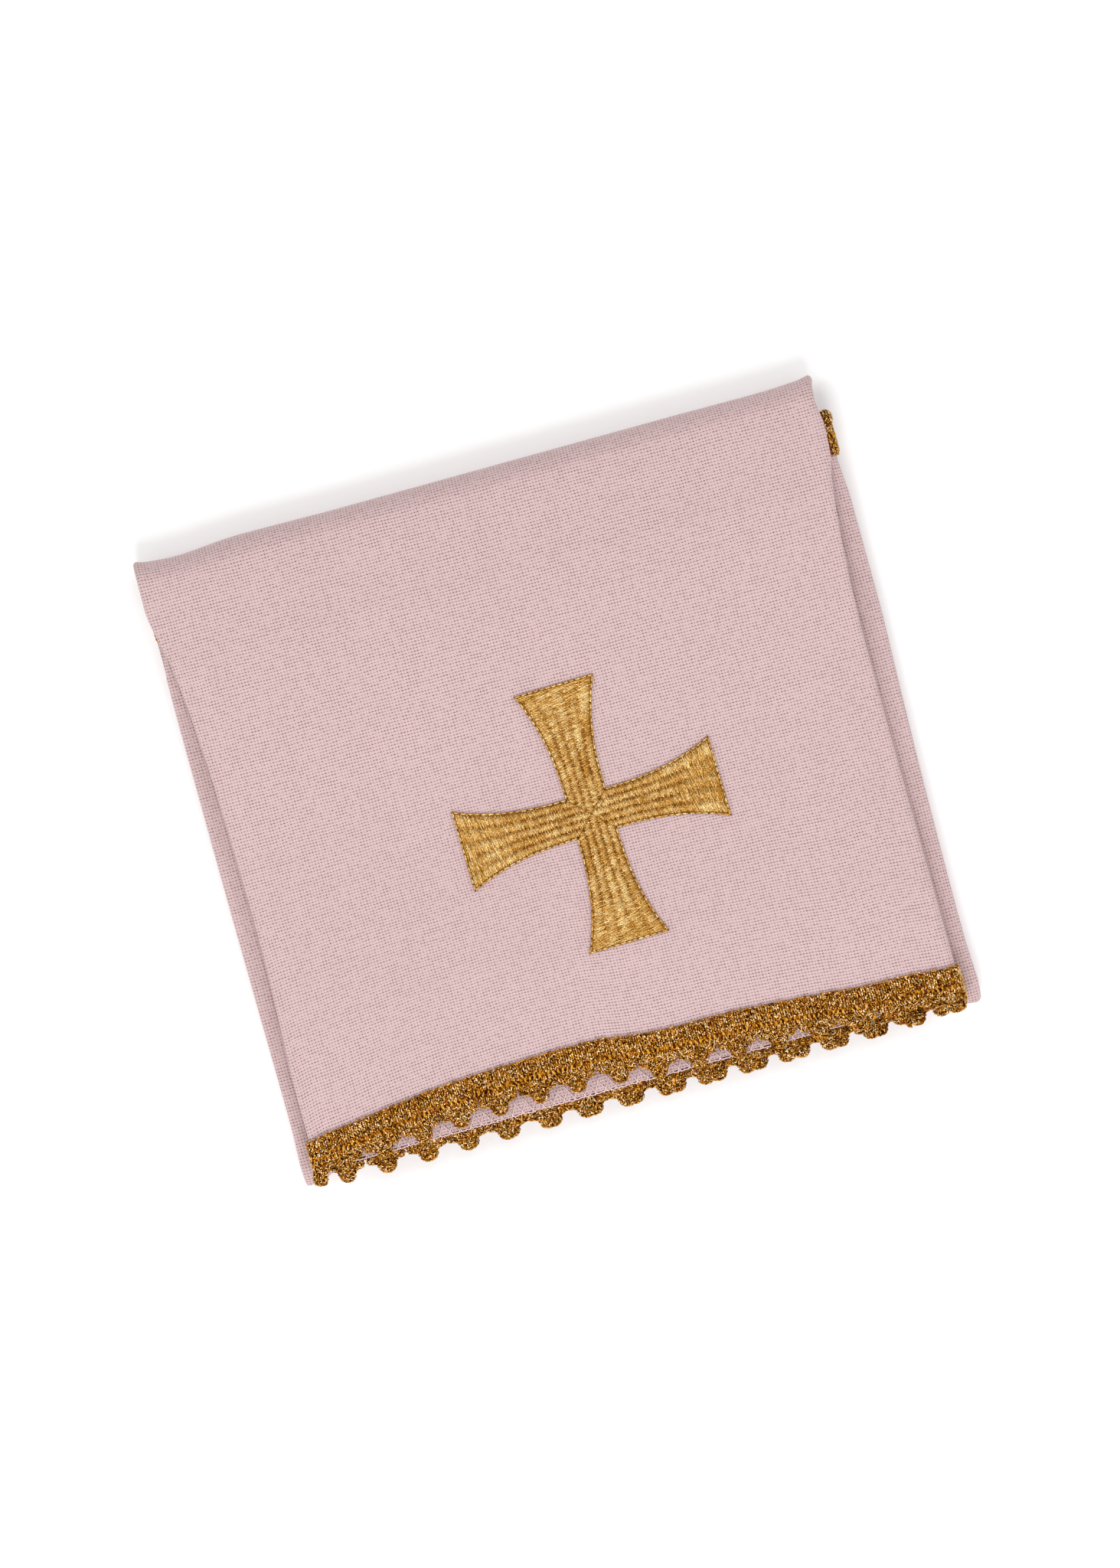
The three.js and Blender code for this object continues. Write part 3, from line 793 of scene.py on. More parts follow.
def glittering_gold(name, colours, speck, tilt, glints, crests, span, metallic, roughness):
    """Gold that glitters from speck to speck, with painted glints in its colour beside the real ones of its
    tilted facets, and painted shade at its stitches' ends.

    The glints are finer than the render shows, so each is drawn about as wide as the thread.
    """
    material, node = new_material(name)
    place = node("ShaderNodeTexCoord")
    # The tone mark: random tone per stitch, plus painted sheen on the satin and painted shade on the knitted
    # ground and needle holes
    tone = node("ShaderNodeAttribute", attribute_name="tone")
    crest = node("ShaderNodeAttribute", attribute_name="crest")
    # Painted shade at the stitches' ends: the colour brightens with the crest mark towards each thread's
    # middle
    painted_crest_light = node("ShaderNodeMapRange", {"Value": crest.outputs["Fac"], "To Max": crests})
    specks = node("ShaderNodeTexVoronoi", {"Vector": place.outputs["Object"], "Scale": 1 / (speck * MM)})
    chance = node("ShaderNodeSeparateXYZ", {0: specks.outputs["Color"]})
    # Painted glints: random specks are lifted towards the glint colour
    painted_glint = node("ShaderNodeMath", {0: chance, 1: glints, 2: tone.outputs["Fac"]}, operation="MULTIPLY_ADD")
    light = node("ShaderNodeMath", {0: painted_crest_light, 1: painted_glint}, operation="ADD")
    share = node("ShaderNodeMapRange", {"Value": light, "From Min": span[0], "From Max": span[1]})
    # The ramp runs from painted deep shade through painted shade and gold to the painted glint
    gold = node("ShaderNodeValToRGB", {0: share})
    stops = gold.color_ramp.elements
    stops[0].color = with_alpha(c / DEEPENED for c in colours.shade)
    stops[1].color = with_alpha(colours.painted_glint)
    for position, hue in ((SHADE_AT, colours.shade), (GOLD_AT, colours.gold)):
        stops.new(position).color = with_alpha(hue)
    surface = node("ShaderNodeNewGeometry")
    centred = node("ShaderNodeVectorMath", {0: specks.outputs["Color"], 1: (0.5,) * 3}, operation="SUBTRACT")
    tilted = node("ShaderNodeVectorMath", {
        0: centred, 1: (tilt,) * 3, 2: surface.outputs["Normal"],
    }, operation="MULTIPLY_ADD")
    facet = node("ShaderNodeVectorMath", {0: tilted}, operation="NORMALIZE")
    return finished(material, {
        "Base Color": gold, "Normal": facet, "Metallic": metallic, "Roughness": roughness,
    })


def metallic_yarn(edging):
    """Knitted film yarn: flat shining strips round a core, painted from near-black shade in its folds to pale
    glints.
    """
    return glittering_gold(
        "knitted_metallic_yarn", edging,
        speck=0.5, tilt=1.2, glints=1.0, crests=0.5, span=(0.1, 1.9), metallic=0.9, roughness=0.3,
    )


def flat_metallic_yarn(edging):
    """The same yarn where it lies flat in a rib: a smooth yellow sheen with few painted glints."""
    return glittering_gold(
        "flat_metallic_yarn", edging,
        speck=0.5, tilt=0.8, glints=0.5, crests=0.4, span=(0.0, 1.7), metallic=0.8, roughness=0.4,
    )


def gold_thread(cross):
    """Metal-wrapped thread in satin stitch: a silky shine on each row, partly painted, and painted shade
    where the thread dives down.
    """
    return glittering_gold(
        "satin_stitched_gold", cross,
        speck=0.36, tilt=0.7, glints=0.6, crests=0.45, span=(0.0, 1.9), metallic=0.8, roughness=0.35,
    )


# The linen

class VEIL_OT_linen(bpy.types.Operator):
    """Lay the folded linen"""

    bl_idname = "chalice_veil.linen"
    bl_label = "Folded linen"

    # Rows of points along each run of the strip, and across each zone of a row
    RUNS = (("front", 80), ("top_fold", 18), ("middle", 12), ("bottom_fold", 14), ("tucked", 36))
    ZONES = (("left_flap", 12), ("left_fold", 10), ("panel", 90), ("right_fold", 10), ("right_flap", 12))

    def execute(self, context):
        fold = the_fold(context)
        linen = fold.linen
        rows = [fold.row(run, share) for run, share in self.shares(self.RUNS)]
        columns = self.shares(self.ZONES)
        points = []
        flat = []
        for lift in (linen.thickness / 2, -linen.thickness / 2):
            for row in rows:
                for zone, share in columns:
                    point, across = fold.place(row, zone, share, lift)
                    if zone == "panel" and row.is_front:
                        point.z -= self.droop(share * row.panel, row.panel)
                    points.append(point)
                    slack = fold.slack(row, point.x + linen.middle_x)
                    flat.append((across * MM, (row.travel - slack) * MM))
        faces = grid_faces(len(rows), len(columns))
        piece = add_piece("linen", points, faces, plain_woven_linen(linen))
        weave = piece.data.uv_layers.new(name="weave")
        corners = [0] * len(piece.data.loops)
        piece.data.loops.foreach_get("vertex_index", corners)
        weave.data.foreach_set("uv", [value for corner in corners for value in flat[corner]])
        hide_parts("veil_cloth")
        return {"FINISHED"}

    @staticmethod
    def shares(stretches):
        """Even shares of each stretch in turn, to the end of the last."""
        shares = [(name, i / count) for name, count in stretches for i in range(count)]
        return shares + [(stretches[-1][0], 1)]

    @staticmethod
    def droop(inward, panel):
        """How far the panel softens down towards its side folds."""
        near = min(inward, panel - inward)
        return SIDE_DROOP * smooth_step(SIDE_DROOP_REACH - near, 0, SIDE_DROOP_REACH) if near > 0 else 0


# The edgings. First the outline of one picot, from the gap beside it to its middle and on to the next gap

HALF_PICOT = table(
    "along reach",
    (0, 7.8),
    (0.06, 9.9),
    (0.27, 10.7),
    (0.32, 12.4),
    (0.41, 13.4),
    (0.5, 13.6),
)
PICOT = HALF_PICOT + [{**corner, "along": 1 - corner["along"]} for corner in HALF_PICOT[-2::-1]]

# Picots counted along the edge from the free corner of the left flap: closest round the left fold
PICOT_RUN = table(
    "across count",
    (0, -0.45),
    (49.3, 3.5),
    (168.6, 13.5),
    (178.3, 14.5),
    (185.5, 15.5),
    (374.5, 31.5),
    (421.2, 35.5),
    (550, 45.9),
)


class Edging:
    """One edging: a knitted band on the linen's right side, round both side folds."""

    # How far a picot may lean, how many leans are drawn, how near slopes are taken, and the knobs
    LEAN = 0.45
    LEANS = 60
    NEAR = 0.25
    KNOB_AT = 11.3
    KNOB_SIZE = 2.7
    KNOB_SWELL = 0.7

    # How far past a side fold the front's stitches go, and how far from one the back's are seen
    FOLD_ROOM = 2
    SEEN_ROOM = 25

    def __init__(self, fold, edging, row, direction):
        self.fold = fold
        self.edging = edging
        self.row = row
        self.direction = direction
        self.total = fold.linen.side
        draw = random.Random(SEED)
        self.leans = [stray(draw, self.LEAN) for _ in range(self.LEANS)]
        self.fold_start = row.flap
        self.fold_end = row.flap + math.pi * (row.left_r + row.right_r) + row.panel

    def outline(self, count):
        """How far the edging reaches at a count of picots along it."""
        return through(PICOT, "along", "reach", count % 1)

    def across(self, count):
        """The distance along the edge at a count of picots."""
        return between(PICOT_RUN, "count", "across", count)

    def count(self, across):
        """The count of picots at a distance along the edge."""
        return between(PICOT_RUN, "across", "count", across)

    def point(self, across, reach, lift):
        """A point of the edging; the picots lean a little, each its own way."""
        past = max(0, reach - self.edging.band) / (self.edging.reach - self.edging.band)
        lean = self.leans[math.floor(self.count(across))] * past
        zone, share = self.fold.spread(self.row, across + lean)
        base = self.fold.linen.thickness / 2 + self.edging.seat
        along = self.direction * (reach - self.edging.sewn_in)
        return self.fold.place(self.row, zone, share, base + lift, along)[0]

    def swell(self, count, reach):
        """How far the knob of a picot swells out of its flat."""
        number = math.floor(count)
        aside = (count - number - 0.5) * (self.across(number + 1) - self.across(number))
        away = math.hypot(aside, reach - self.KNOB_AT) / self.KNOB_SIZE
        return self.KNOB_SWELL * max(0, 1 - away * away)

    def frame(self, across, reach, lift):
        """A point with the directions along the edging, towards the picots, and out of it."""
        near = self.NEAR
        along = self.point(across + near, reach, lift) - self.point(across - near, reach, lift)
        down = self.point(across, reach + near, lift) - self.point(across, reach - near, lift)
        out = self.point(across, reach, lift + near) - self.point(across, reach, lift - near)
        return self.point(across, reach, lift), along.normalized(), down.normalized(), out.normalized()

    def stretch(self, across):
        """How much longer the edging's face is than the linen under it: above 1 where it rounds a fold."""
        lift = self.edging.thickness
        span = self.point(across + self.NEAR, 0, lift) - self.point(across - self.NEAR, 0, lift)
        return max(1, span.length / (2 * self.NEAR))

    def walk(self, start, end, step):
        """Places along the edge that lie a step apart on the edging's face."""
        at = start
        while at < end:
            pace = step / self.stretch(at)
            yield at + pace / 2
            at += pace

    def on_front(self, across):
        """Whether a place lies on the panel or its side folds."""
        return max(self.fold_start - across, across - self.fold_end) < self.FOLD_ROOM

    def on_flaps(self, across):
        return not self.on_front(across)

    def near_folds(self, across):
        """Whether a place lies near a side fold, so that it isn't hidden in the folded stack."""
        return min(abs(across - self.fold_start), abs(across - self.fold_end)) < self.SEEN_ROOM


class VEIL_OT_edgings(bpy.types.Operator):
    """Knit the front and back edgings"""

    bl_idname = "chalice_veil.edgings"
    bl_label = "Gold edgings"

    # The ground: its step in picots, its rows, its painted shade where it shows between the loops, its under
    # face and its room for the rim
    GROUND_STEP = 0.05
    GROUND_ROWS = 6
    GROUND_PAINTED_SHADE = -0.25
    UNDER = 0.05
    INSET = 0.45

    # The loops, and the rows and strays of the legs, with their slant in degrees
    LOOP = 0.75
    BOW = 0.25
    LEG_ROWS = (1.0, 1.65, 2.3, 2.95, 3.6, 4.25, 4.9, 6.5, 7.1)
    LEG_STRAY = 0.15
    ROW_STRAY = 0.2
    LEG_SLANT = 30
    SLANT_STRAY = 25
    LEG_SIZES = (0.8, 1.2)
    LEG_TONES = (-0.3, 0.75)

    # The lip along the sewn edge
    LIP = 0.35
    LIP_STRAY = 0.3
    LIP_LIFT = 0.7
    LIP_STRETCH = (0.9, 1, 1)
    LIP_TONES = (-0.3, 0.2)

    # The smooth rib
    RIB_AT = 5.7
    RIB_STRAY = 0.3
    RIB_LEAN = 0.4
    RIB_LENGTH = 1.4
    RIB_WIDTH = 0.9
    RIB_RISE = 0.1
    RIB_SIZES = (0.6, 1.1)
    RIB_TONES = (-0.1, 0.35)

    # The picots and their rims, with half widths in picots
    PICOT_LOOP = 0.62
    PICOT_ROW = 0.55
    PICOT_STRAY = 0.2
    PICOT_SIZES = (0.7, 1.1)
    PICOT_TONES = (-0.3, 0.8)
    NARROWEST = 0.08
    NARROW_STEP = 0.01
    RIM_ROOM = 0.02
    RIM_NEAR = 0.02
    RIM_STEP = 0.33
    RIM_LIFTS = (0.1, 0.9)
    RIM_JUMBLE = 1.2
    RIM_TONES = (-0.2, 0.3)

    def execute(self, context):
        fold = the_fold(context)
        edging = in_millimetres(context.scene.chalice_veil.edging)
        yarn = metallic_yarn(edging)
        smooth_yarn = flat_metallic_yarn(edging)
        front = Edging(fold, edging, fold.row("front", 0), -1)
        back = Edging(fold, edging, fold.row("tucked", 1), 1)
        for side, band in (("front", front), ("back", back)):
            ground = self.knit_ground(band, side, yarn)
            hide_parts(side + "_edging")
        self.knit_band(front, yarn, smooth_yarn, "front_edging_band", front.on_front)
        self.knit_picots(front, yarn, "front_edging_picots", front.on_front)
        self.knit_picots(front, yarn, "flap_edging_picots", front.on_flaps)
        self.knit_band(back, yarn, smooth_yarn, "back_edging_band", back.near_folds)
        self.knit_picots(back, yarn, "back_edging_picots", back.near_folds)
        return {"FINISHED"}

    def knit_ground(self, band, side, yarn):
        """The close ground of the knitting, under its loops."""
        first, last = band.count(0), band.count(band.total)
        number = round((last - first) / self.GROUND_STEP)
        counts = [mix(first, last, i / number) for i in range(number + 1)]
        points = []
        for lift, face in ((band.edging.thickness, 1), (self.UNDER, -1)):
            grid = []
            for r in range(self.GROUND_ROWS + 1):
                line = []
                for count in counts:
                    reach = mix(self.INSET, band.outline(count) - self.INSET, r / self.GROUND_ROWS)
                    swell = face * band.swell(count, reach)
                    line.append(band.point(band.across(count), reach, lift + swell))
                grid.append(line)
            for line in grid[::band.direction]:
                points += line
        faces = grid_faces(self.GROUND_ROWS + 1, len(counts))
        ground = add_piece(side + "_edging_ground", points, faces, yarn)
        # Painted shade: the ground is darkened where it shows between the loops
        mark(ground.data, "tone", [self.GROUND_PAINTED_SHADE] * len(points))
        return ground

    def knit_band(self, band, yarn, smooth_yarn, name, wanted):
        """The band: pairs of slanting legs in every wale, with one smooth rib among them."""
        draw = random.Random(SEED)
        loops = Stitching()
        ribs = Stitching()
        for across in band.walk(0, band.total, band.edging.wale):
            if wanted(across):
                self.knit_wale(band, loops, ribs, across, draw)
        self.make_loops(band, loops, yarn, name)
        rib = (self.RIB_LENGTH, self.RIB_WIDTH, self.RIB_RISE)
        ribs.make(name + "_ribs", smooth_yarn, "gold_edging", *rib, taper=0.5)

    def make_loops(self, band, loops, yarn, name):
        loops.make(name, yarn, "gold_edging", self.LOOP, band.edging.yarn, self.BOW, sides=3, bends=3)

    def knit_wale(self, band, loops, ribs, across, draw):
        """One wale of the band."""
        thickness = band.edging.thickness
        quarter = band.edging.wale / band.stretch(across) / 4
        for lean in (-1, 1):
            leg = across + lean * quarter
            lip = self.LIP + stray(draw, self.LIP_STRAY)
            point, along, down, out = band.frame(leg, lip, thickness * self.LIP_LIFT)
            way = along + down * stray(draw, 1)
            loops.add(point, way, out - down, draw.uniform(*self.LIP_TONES), self.LIP_STRETCH)
            for row in self.LEG_ROWS:
                at = leg + stray(draw, self.LEG_STRAY)
                point, along, down, out = band.frame(at, row + stray(draw, self.ROW_STRAY), thickness)
                slant = lean * math.radians(self.LEG_SLANT + stray(draw, self.SLANT_STRAY))
                way = math.cos(slant) * down + math.sin(slant) * along
                size = draw.uniform(*self.LEG_SIZES)
                loops.add(point, way, out, draw.uniform(*self.LEG_TONES), (size,) * 3)
        reach = self.RIB_AT + stray(draw, self.RIB_STRAY)
        point, along, down, out = band.frame(across, reach, thickness)
        size = draw.uniform(*self.RIB_SIZES)
        way = down + stray(draw, self.RIB_LEAN) * along
        ribs.add(point, way, out, draw.uniform(*self.RIB_TONES), (size,) * 3)

    def knit_picots(self, band, yarn, name, wanted):
        """Picots of short loops that lie on both faces and turn round the knob."""
        draw = random.Random(SEED)
        loops = Stitching()
        for number in range(math.floor(band.count(0)), math.ceil(band.count(band.total))):
            if wanted(band.across(number + 0.5)):
                self.work_picot(band, loops, number, draw)
        self.make_loops(band, loops, yarn, name)

    def work_picot(self, band, loops, number, draw):
        """One picot, filled row by row on both faces and bound round its rim."""
        reach = band.edging.band + self.PICOT_ROW
        while reach < band.edging.reach - 2 * self.INSET:
            half = self.half_width(band, reach)
            left, right = band.across(number + 0.5 - half), band.across(number + 0.5 + half)
            for place in band.walk(left, right, self.PICOT_LOOP):
                for face in (1, -1):
                    at = place + stray(draw, self.PICOT_STRAY)
                    self.add_loop(band, loops, at, reach + stray(draw, self.PICOT_STRAY), face, draw)
            reach += self.PICOT_ROW
        self.bind_rim(band, loops, number, draw)

    def add_loop(self, band, loops, at, reach, face, draw):
        """One loop that lies on a face of a picot, any way round."""
        if 0 < at < band.total:
            lift = band.edging.thickness if face > 0 else self.UNDER
            swell = face * band.swell(band.count(at), reach)
            point, along, down, out = band.frame(at, reach, lift + swell)
            slant = draw.uniform(0, math.pi)
            way = math.cos(slant) * along + math.sin(slant) * down
            size = draw.uniform(*self.PICOT_SIZES)
            loops.add(point, way, out * face, draw.uniform(*self.PICOT_TONES), (size,) * 3)

    def bind_rim(self, band, loops, number, draw):
        """Loops round the rim of a picot."""
        near = self.RIM_NEAR
        for at in band.walk(band.across(number), band.across(number + 1), self.RIM_STEP):
            count = band.count(at)
            if 0 < at < band.total:
                reach = band.outline(count) - self.INSET
                run = band.across(count + near) - band.across(count - near)
                slope = (band.outline(count + near) - band.outline(count - near)) / run
                lift = band.edging.thickness * draw.uniform(*self.RIM_LIFTS)
                point, along, down, out = band.frame(at, reach, lift)
                rim = (down - slope * along).normalized()
                way = (along + slope * down).normalized() + stray(draw, self.RIM_JUMBLE) * rim
                face = rim + out * stray(draw, self.RIM_JUMBLE)
                loops.add(point, way, face, draw.uniform(*self.RIM_TONES))

    def half_width(self, band, reach):
        """Half the width of a picot at one reach, in picots, less the rim's loops."""
        half = 0.5
        while half > self.NARROWEST and band.outline(0.5 + half) < reach + self.INSET:
            half -= self.NARROW_STEP
        return half - self.RIM_ROOM


# Overlocking along the raw edge of the flaps

class VEIL_OT_overlock(bpy.types.Operator):
    """Bind the raw edge of the flaps with overlock stitch"""

    bl_idname = "chalice_veil.overlock"
    bl_label = "Overlocked edge"

    STITCH = 1.55
    THREAD = 0.36

    # The chain: how far it hangs past the edge, its slack, and its links' lap, bow, sway and face
    HANG = 0.45
    SLACK = 0.3
    LINK_LAP = 1.15
    LINK_BOW = 0.15
    LINK_SWAY = 0.15
    LINK_FACE = Vector((0, -1, 0.6))

    # The rungs: their reach over the linen, slant, sway, bow and finer thread, and their start in hangs
    BITE = 4.6
    SLANT = 0.6
    RUNG_SWAY = 0.1
    RUNG_BOW = 0.1
    RUNG_FINER = 0.8
    RUNG_START = 1.5

    def execute(self, context):
        fold = the_fold(context)
        draw = random.Random(SEED)
        thread = overlock_thread()
        row = fold.row("front", 0)
        chain = Stitching()
        rungs = Stitching()
        count = round(row.flap / self.STITCH)
        for zone in ("left_flap", "right_flap"):
            for i in range(count):
                share = (i + 0.5) / count
                self.chain_link(fold, row, zone, share, chain, draw)
                self.rung(fold, row, zone, share, 1 if i % 2 else -1, rungs, draw)
        link = (self.STITCH * self.LINK_LAP, self.THREAD, self.LINK_BOW)
        chain.make("overlock_chain", thread, "pink_linen", *link, taper=0.8)
        rung = (self.BITE * math.hypot(1, self.SLANT), self.THREAD * self.RUNG_FINER, self.RUNG_BOW)
        rungs.make("overlock_rungs", thread, "pink_linen", *rung, taper=0.9)
        return {"FINISHED"}

    def chain_link(self, fold, row, zone, share, chain, draw):
        """One link of the chain that hangs just past the raw edge."""
        point = fold.place(row, zone, share, 0, draw.uniform(0, self.SLACK) - self.HANG)[0]
        chain.add(point, Vector((1, stray(draw, self.LINK_SWAY), 0)), self.LINK_FACE)

    def rung(self, fold, row, zone, share, lean, rungs, draw):
        """One slanting thread that reaches back over the linen from the chain."""
        lift = -(fold.linen.thickness / 2 + self.THREAD / 2)
        point = fold.place(row, zone, share, lift, self.BITE / 2 - self.RUNG_START * self.HANG)[0]
        rungs.add(point, Vector((lean * self.SLANT + stray(draw, self.RUNG_SWAY), 1, 0)), UP)


# The cross

class VEIL_OT_cross(bpy.types.Operator):
    """Embroider the flared cross"""

    bl_idname = "chalice_veil.cross"
    bl_label = "Embroidered cross"

    # The ground: points along an arm and across a column, height, seat, rim, and ridges that soften outward
    ROWS = 20
    PER_COLUMN = 4
    GROUND = 0.12
    SEAT = 0.06
    RIM = 0.3
    RIDGE_ROUND = 3
    SOFT_FROM = 0.55
    SOFTENED = 0.6

    # The satin stitch, made 1 mm long and stretched: its strays, mitre, slants, bow and streaks of painted
    # sheen
    SATIN_LENGTH = 1.0
    SATIN_IN = 0.4
    STRAY = 0.3
    END_STRAY = 0.8
    MITRE_LAP = 0.15
    SHORTEST = 0.3
    SLANTS = (0.05, 0.35)
    END_BOW = 0.8
    TONES = (0.2, 0.7)
    SHEEN = 0.4
    STREAK = 9
    COLUMN_APART = 3.7
    ARM_APART = 5

    # The outline: its inset, lift, stitches, and the dots of painted shade at its needle holes
    OUTLINE_IN = 0.2
    OUTLINE_LIFT = 0.3
    OUTLINE_STITCH = 0.8
    OUTLINE_THREAD = 1.2
    OUTLINE_BOW = 0.2
    DOT = -0.8
    DOT_DEPTHS = (0.2, 1)
    DOT_STRAY = 0.25
    DOT_STRETCH = (0.35, 1, 1)

    def execute(self, context):
        self.fold = the_fold(context)
        self.cross = cross = in_millimetres(context.scene.chalice_veil.cross)
        thread = gold_thread(cross)
        draw = random.Random(SEED)
        turns = [cross.askew + arm * math.pi / 2 for arm in range(4)]
        ground = self.lay_ground(turns, thread)
        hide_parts("cross_embroidery")
        satin = Stitching()
        outline = Stitching()
        for turn in turns:
            self.fill_arm(turn, satin, draw)
            self.outline_arm(turn, outline, draw)
        satin.make(
            "cross_satin_stitch", thread, "gold_thread", self.SATIN_LENGTH, cross.thread, cross.ridge,
            taper=0.7, sides=4, bends=5,
        )
        outline.make(
            "cross_outline_stitch", thread, "gold_thread",
            cross.outline_step * self.OUTLINE_STITCH, cross.thread * self.OUTLINE_THREAD, self.OUTLINE_BOW,
        )
        return {"FINISHED"}

    def half(self, away):
        """Half the width of an arm at a distance from the middle."""
        cross = self.cross
        flare = max(0, (abs(away) - cross.arm_waist) / (cross.arm - cross.arm_waist)) ** cross.flare
        return mix(cross.arm_waist, cross.arm_end, flare)

    def soft(self, away):
        """How far the rows of an arm have softened into each other, from 0 to 1 at its end."""
        return smooth_step(away / self.cross.arm, self.SOFT_FROM, 1)

    def spot(self, turn, side, away, lift):
        """A point of one arm, by its place beside the arm's middle line and along it."""
        x = self.cross.centre_x + side * math.cos(turn) - away * math.sin(turn)
        y = self.cross.centre_y + side * math.sin(turn) + away * math.cos(turn)
        point = self.fold.front_face(x, y)
        point.z += self.SEAT + lift
        return point

    def lay_ground(self, turns, thread):
        """The ridged ground under the satin stitch: four arms that meet in the middle."""
        cross = self.cross
        across = cross.columns * self.PER_COLUMN
        points = []
        crests = []
        faces = []
        for turn in turns:
            start = len(points)
            for upper in (True, False):
                for r in range(self.ROWS + 1):
                    away = mix(0, cross.arm - self.RIM, r / self.ROWS)
                    half = self.half(away) - self.RIM
                    ridge = cross.ridge * (1 - self.SOFTENED * self.soft(away))
                    for c in range(across + 1):
                        side = min(max(mix(-half, half, c / across), -away), away)
                        share = (c / self.PER_COLUMN) % 1
                        lift = self.GROUND + self.RIDGE_ROUND * ridge * share * (1 - share) if upper else 0
                        points.append(self.spot(turn, side, away, lift))
                        crests.append(math.sin(math.pi * share))
            arm = grid_faces(self.ROWS + 1, across + 1)
            faces += [tuple(start + corner for corner in face) for face in arm]
        ground = add_piece("cross_ground", points, faces, thread)
        # Painted shade: the crest mark is low at the grooves between the columns, where the gold paints the
        # ground darker
        mark(ground.data, "crest", crests)
        return ground

    def fill_arm(self, turn, satin, draw):
        """Satin stitch in columns that fan out with an arm, soften to its end and stop at the mitre."""
        cross = self.cross
        count = int((cross.arm - self.SATIN_IN) / cross.stitch_step)
        for i in range(count):
            away = (i + 0.5) * cross.stitch_step
            half = self.half(away) - self.SATIN_IN
            soft = self.soft(away)
            aside = mix(self.STRAY, self.END_STRAY, soft)
            for column in range(cross.columns):
                left = mix(-half, half, column / cross.columns) + stray(draw, aside)
                right = mix(-half, half, (column + 1) / cross.columns) + stray(draw, aside)
                left = max(left, -away - self.MITRE_LAP, -half)
                right = min(right, away + self.MITRE_LAP, half)
                if right - left > self.SHORTEST:
                    slant = draw.uniform(*self.SLANTS)
                    a = self.spot(turn, left, away - slant / 2, self.GROUND)
                    b = self.spot(turn, right, away + slant / 2, self.GROUND)
                    way = b - a
                    # Painted sheen: a smooth noise along each column brightens or darkens streaks of its
                    # stitches
                    streak = Vector((column * self.COLUMN_APART, away / self.STREAK, turn * self.ARM_APART))
                    tone = draw.uniform(*self.TONES) + self.SHEEN * noise.noise(streak)
                    bow = mix(min(1, way.length / 2), self.END_BOW, soft)
                    satin.add((a + b) / 2, way, UP, tone, (way.length, 1, bow))

    def outline_arm(self, turn, outline, draw):
        """Running stitch round an arm from crossing to crossing, with a dot of painted shade at each needle
        hole.
        """
        cross = self.cross
        inset = self.OUTLINE_IN
        corners = []
        count = round((cross.arm - cross.arm_waist) / cross.outline_step)
        for i in range(count + 1):
            away = mix(cross.arm_waist, cross.arm - inset, i / count)
            corners.append((self.half(away) - inset, away))
        wide = round(2 * cross.arm_end / cross.outline_step)
        for i in range(1, wide):
            corners.append((mix(cross.arm_end - inset, inset - cross.arm_end, i / wide), cross.arm - inset))
        corners += [(-side, away) for side, away in reversed(corners[:count + 1])]
        lift = self.GROUND + self.OUTLINE_LIFT
        spots = [self.spot(turn, side, away, lift) for side, away in corners]
        for start, stop in zip(spots, spots[1:]):
            way = stop - start
            outline.add((start + stop) / 2, way, UP, draw.uniform(*self.TONES))
            # Painted shade: a short dark stitch stands at each needle hole
            hole = stop + stray(draw, self.DOT_STRAY) * way.normalized()
            outline.add(hole, way, UP, self.DOT * draw.uniform(*self.DOT_DEPTHS), self.DOT_STRETCH)


# The stage

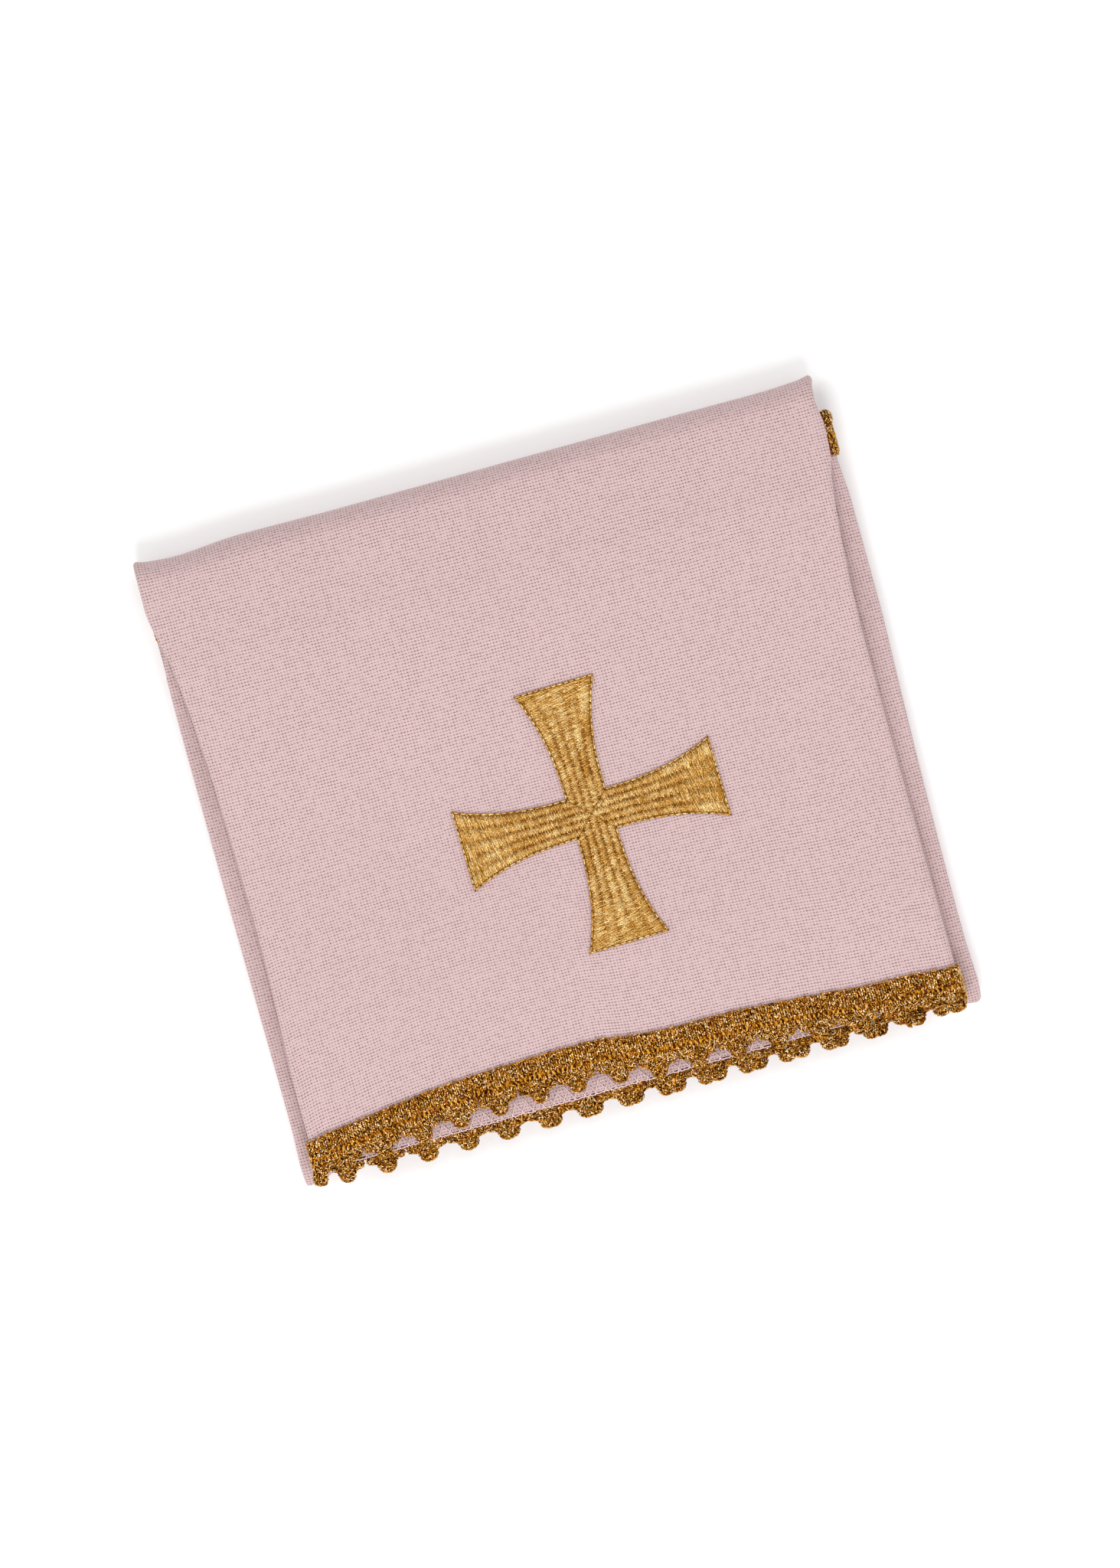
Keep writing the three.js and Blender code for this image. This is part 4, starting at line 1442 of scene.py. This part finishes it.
class VEIL_OT_stage(bpy.types.Operator):
    """Set the floor, the soft lights and the camera"""

    bl_idname = "chalice_veil.stage"
    bl_label = "Stage"

    # Half the side of the floor, and each light's name, place, side and power setting, with sizes in metres
    FLOOR = 3.0
    LIGHTS = (
        ("key_light", (-0.15, -0.9, 1.1), 0.8, "key"),
        ("left_fill", (-1.0, 0.3, 0.9), 0.5, "fill"),
        ("right_fill", (1.0, 0.3, 0.9), 0.5, "fill"),
    )

    def execute(self, context):
        scene = context.scene
        stage = in_millimetres(scene.chalice_veil.stage)
        scene.view_settings.view_transform = "Standard"
        self.lay_floor(stage)
        self.hang_lights(scene, stage)
        self.set_camera(scene, stage)
        return {"FINISHED"}

    def lay_floor(self, stage):
        """A matt white board: pale, with no shine of its own."""
        size = self.FLOOR
        mesh = bpy.data.meshes.new("floor")
        corners = [(-size, -size, 0), (size, -size, 0), (size, size, 0), (-size, size, 0)]
        mesh.from_pydata(corners, [], [(0, 1, 2, 3)])
        material = new_material("matt_white_board")[0]
        mesh.materials.append(finished(material, {"Base Color": with_alpha(stage.floor), "Roughness": 0.9}))
        put("floor", mesh)

    def hang_lights(self, scene, stage):
        """An even white sky, one large soft light from the front and one from each side."""
        world = bpy.data.worlds.new("even_light")
        world.use_nodes = True
        sky = world.node_tree.nodes["Background"]
        sky.inputs["Color"].default_value = (1, 1, 1, 1)
        sky.inputs["Strength"].default_value = stage.sky
        scene.world = world
        for name, place, size, power in self.LIGHTS:
            lamp = bpy.data.lights.new(name, "AREA")
            lamp.size = size
            lamp.energy = getattr(stage, power)
            light = put(name, lamp)
            light.location = place
            light.rotation_euler = (-Vector(place)).to_track_quat("-Z", "Y").to_euler()

    @staticmethod
    def set_camera(scene, stage):
        """A long lens straight above, turned so that the veil lies as in the picture."""
        data = bpy.data.cameras.new("camera")
        data.lens = stage.lens
        camera = put("camera", data)
        distance = stage.pixel * PHOTO_HEIGHT * stage.lens / data.sensor_width
        camera.location = Vector((stage.look_x, stage.look_y, stage.look_z + distance)) * MM
        camera.rotation_euler = (0, 0, -stage.turn)
        scene.camera = camera


# The sidebar panel and the order of work

class VEIL_PT_panel(bpy.types.Panel):
    """Makes the veil piece by piece"""

    bl_idname = "VEIL_PT_panel"
    bl_label = "Chalice veil"
    bl_space_type = "VIEW_3D"
    bl_region_type = "UI"
    bl_category = "Veil"

    def draw(self, context):
        for operator in OPERATORS:
            self.layout.operator(operator.bl_idname)


OPERATORS = (VEIL_OT_linen, VEIL_OT_edgings, VEIL_OT_overlock, VEIL_OT_cross, VEIL_OT_stage)
CLASSES = (
    LinenSettings, EdgingSettings, CrossSettings, StageSettings, VeilSettings, *OPERATORS, VEIL_PT_panel,
)


def register():
    for each in CLASSES:
        bpy.utils.register_class(each)
    bpy.types.Scene.chalice_veil = PointerProperty(type=VeilSettings)


def unregister():
    del bpy.types.Scene.chalice_veil
    for each in reversed(CLASSES):
        bpy.utils.unregister_class(each)


def main():
    register()
    bpy.ops.chalice_veil.linen()
    bpy.ops.chalice_veil.edgings()
    bpy.ops.chalice_veil.overlock()
    bpy.ops.chalice_veil.cross()
    bpy.ops.chalice_veil.stage()


if __name__ == "__main__":
    main()
